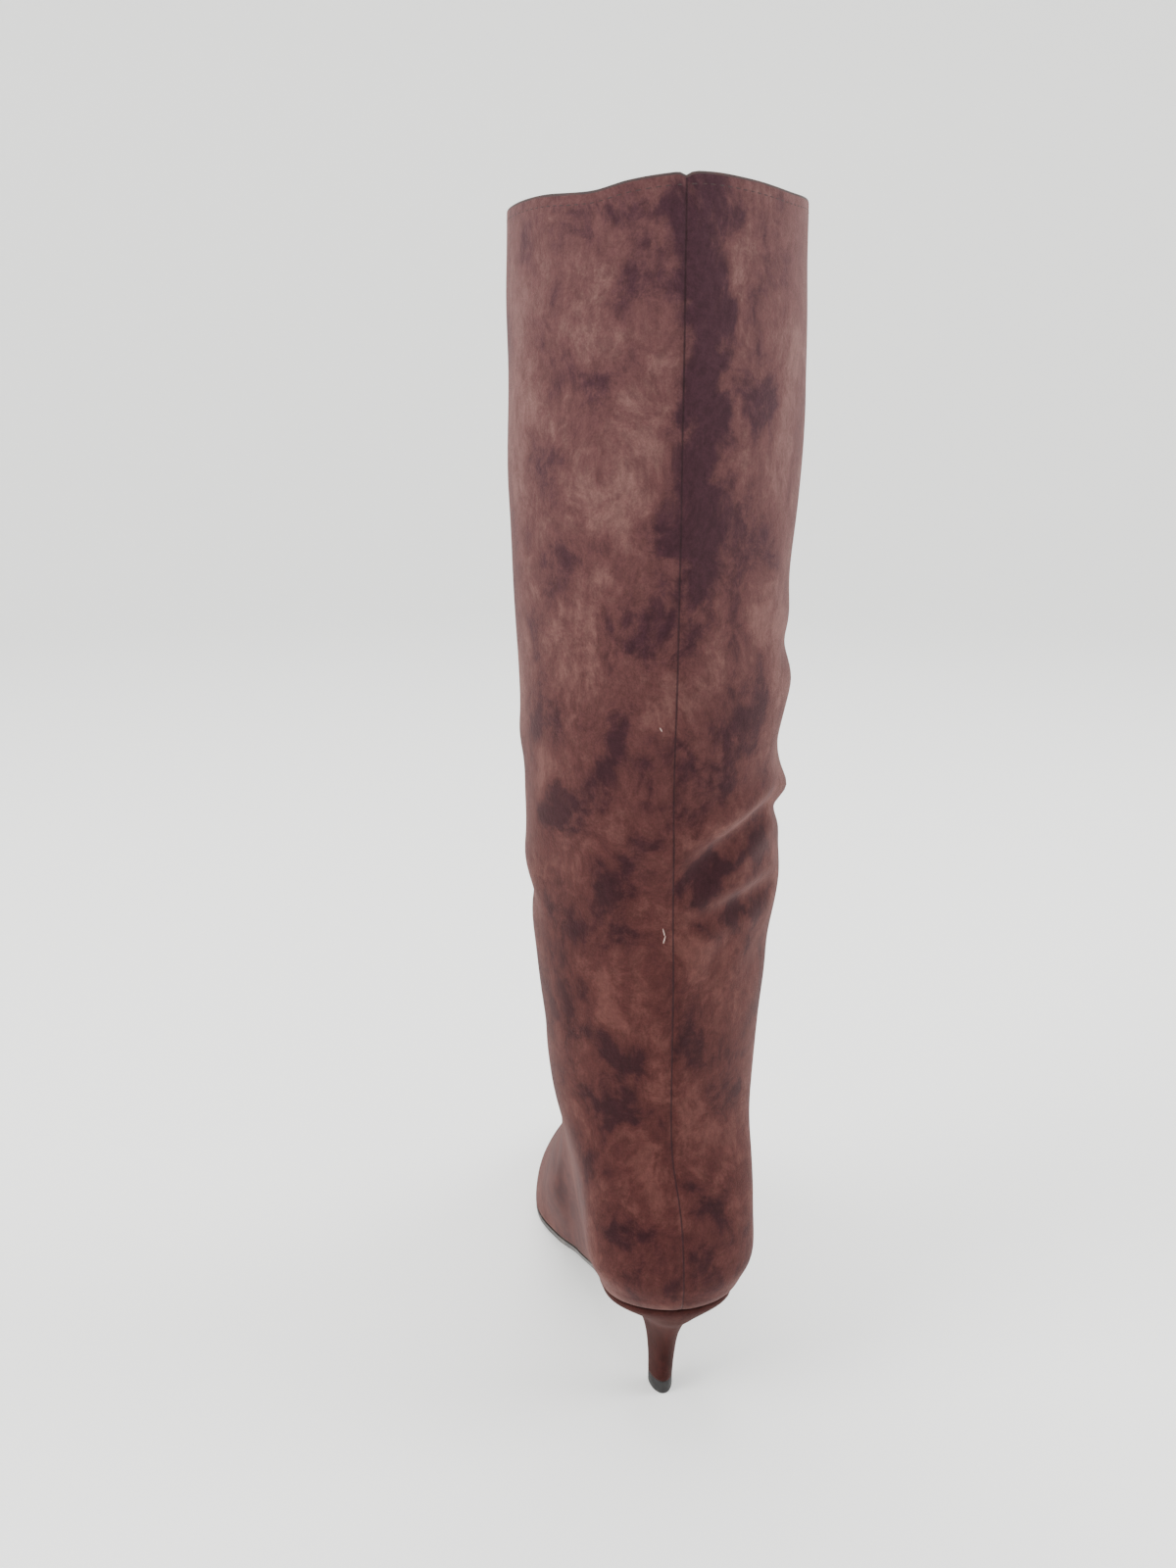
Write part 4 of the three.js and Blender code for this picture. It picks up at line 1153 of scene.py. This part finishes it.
def makeCollarStitches():
    t = np.array([collarStitches["below"] / (boot["height"] * (1 - collarStitches["nextRingUp"]))])
    frames = []
    for sign in (-1.0, 1.0):
        fine = easedSteps(240)
        run = runAlong(upperPoint(t[:, None], fine[None, :], sign)[0])
        places = np.arange(collarStitches["start"], run[-1] - collarStitches["stop"], collarStitches["step"])
        s = np.interp(places, run, fine)[None, :]
        frames += stitchFrames(t, s, sign, collarStitches["deep"])
    makeStitches("collarStitches", collarStitches["long"], collarStitches["thick"], frames)


# the front seam is stitched down for its last few centimetres over the toe
toeStitches = {"backAhead": 196, "frontAhead": 250, "step": 3.2, "long": 1.9, "thick": 0.5, "deep": -0.1}


def makeToeStitches():
    t = np.linspace(6, lastRing - 0.2, 700)
    line = upperPoint(t, 0.999, -1.0)
    run = runAlong(line)
    ahead = boot["placeAhead"] - line[:, 1]
    first, last = np.interp([toeStitches["backAhead"], toeStitches["frontAhead"]], ahead, run)
    t = np.interp(np.arange(first, last, toeStitches["step"]), run, t)
    frames = stitchFrames(t, np.full((len(t), 1), 0.9985), -1.0, toeStitches["deep"])
    makeStitches("toeStitches", toeStitches["long"], toeStitches["thick"], frames)


# bits of pale lint caught beside the back seam
lint = {"long": 3.0, "thick": 0.5, "deep": -0.25}
lintRows = table(
    "around up turned long",
    (3.4, 206.5, 76, 3.2), (3.2, 203.6, 104, 3.4), (5.2, 282, 60, 1.6))


def makeLint():
    frames = []
    for row in lintRows:
        t = np.linspace(1, 8, 1400)
        back = profilePlace(t, "back")[1]
        t = np.array([np.interp(-row["up"], -back, t)])
        fine = np.linspace(0, 0.4, 400)
        run = runAlong(upperPoint(t[:, None], fine[None, :], 1.0)[0])
        s = np.array([[np.interp(row["around"], run, fine)]])
        points, normals = skinLine(t, s, 1.0, lint["deep"])
        angle = math.radians(row["turned"])
        way = np.array([[math.cos(angle), 0, math.sin(angle)]])
        longer = Matrix.Diagonal((row["long"] / lint["long"], 1, 1, 1))
        frames += [frame @ longer for frame in framesOn(points, normals, way)]
    piece = copiesAlong(stitchShape("lint", lint["long"], lint["thick"]), frames, "seamLint")
    finishPiece(piece, lintLook, "boot", None)


makeCollarStitches()
makeToeStitches()
makeLint()
print("stitches made")

# camera, floor and light
view = {"place": (90.4, 554.7, 371.0), "turned": -7.73, "down": 13.9, "lens": 30.15}
studio = {
    "radius": 4.0, "rise": 2.8, "curve": 1.4, "floorColour": linear(240, 240, 238), "glow": 0.34,
    "roomColour": (0.86, 0.87, 0.88, 1), "roomLight": 1.25,
}
lights = table(
    "name place aimUp size power colour",
    ("bigSoft", (1.9, 0.7, 1.7), 0.25, 1.4, 50, (1.0, 0.99, 0.98)),
    ("sideSoft", (-1.9, 0.3, 1.3), 0.25, 1.2, 34, (0.97, 0.98, 1.0)),
    ("topSoft", (0.0, -0.6, 2.3), 0.2, 1.6, 34, (1, 1, 1)))


# a wide shallow bowl, so that floor and backdrop are one pale surface from every side
def makeStage():
    floor = addNew("floor", bpy.ops.mesh.primitive_cylinder_add, vertices=96, radius=studio["radius"],
                   depth=studio["rise"], end_fill_type="NGON", location=(0, 0, studio["rise"] / 2))
    bpy.ops.object.transform_apply(location=True, rotation=False, scale=False)
    deleteFaces(floor, [face.center.z > studio["rise"] * 0.9 for face in floor.data.polygons])
    bpy.ops.mesh.select_all(action="DESELECT")
    toMode("OBJECT")
    for edge in floor.data.edges:
        edge.select = all(floor.data.vertices[i].co.z < 0.01 for i in edge.vertices)
    toMode("EDIT")
    bpy.ops.mesh.bevel(offset=studio["curve"], segments=14, affect="EDGES")
    bpy.ops.mesh.select_all(action="SELECT")
    bpy.ops.mesh.flip_normals()
    toMode("OBJECT")
    bpy.ops.object.shade_smooth()
    material = newMaterial("paleFloor", 0.7, Base_Color=studio["floorColour"],
                           Emission_Color=studio["floorColour"], Emission_Strength=studio["glow"])[0]
    floor.data.materials.append(material)


def addLight(name, place, aimUp, size, power, colour):
    light = addNew(name, bpy.ops.object.light_add, type="AREA", location=place)
    light.data.shape = "DISK"
    light.data.size = size
    light.data.energy = power
    light.data.color = colour
    light.rotation_euler = (Vector((0, 0, aimUp)) - Vector(place)).to_track_quat("-Z", "Y").to_euler()


def makeStudio():
    makeStage()
    for light in lights:
        addLight(**light)
    world = bpy.data.worlds.new("paleRoom")
    world.use_nodes = True
    background = world.node_tree.nodes["Background"]
    background.inputs["Color"].default_value = studio["roomColour"]
    background.inputs["Strength"].default_value = studio["roomLight"]
    bpy.context.scene.world = world
    camera = addNew("photoView", bpy.ops.object.camera_add, location=[v * mm for v in view["place"]])
    turned, down = math.radians(view["turned"]), math.radians(view["down"])
    ahead = Vector((math.sin(turned) * math.cos(down), -math.cos(turned) * math.cos(down), -math.sin(down)))
    camera.rotation_euler = ahead.to_track_quat("-Z", "Y").to_euler()
    camera.data.sensor_fit = "VERTICAL"
    camera.data.sensor_height = 36
    camera.data.lens = view["lens"]
    camera.data.clip_start = 0.02
    bpy.context.scene.camera = camera


makeStudio()
print("studio set")
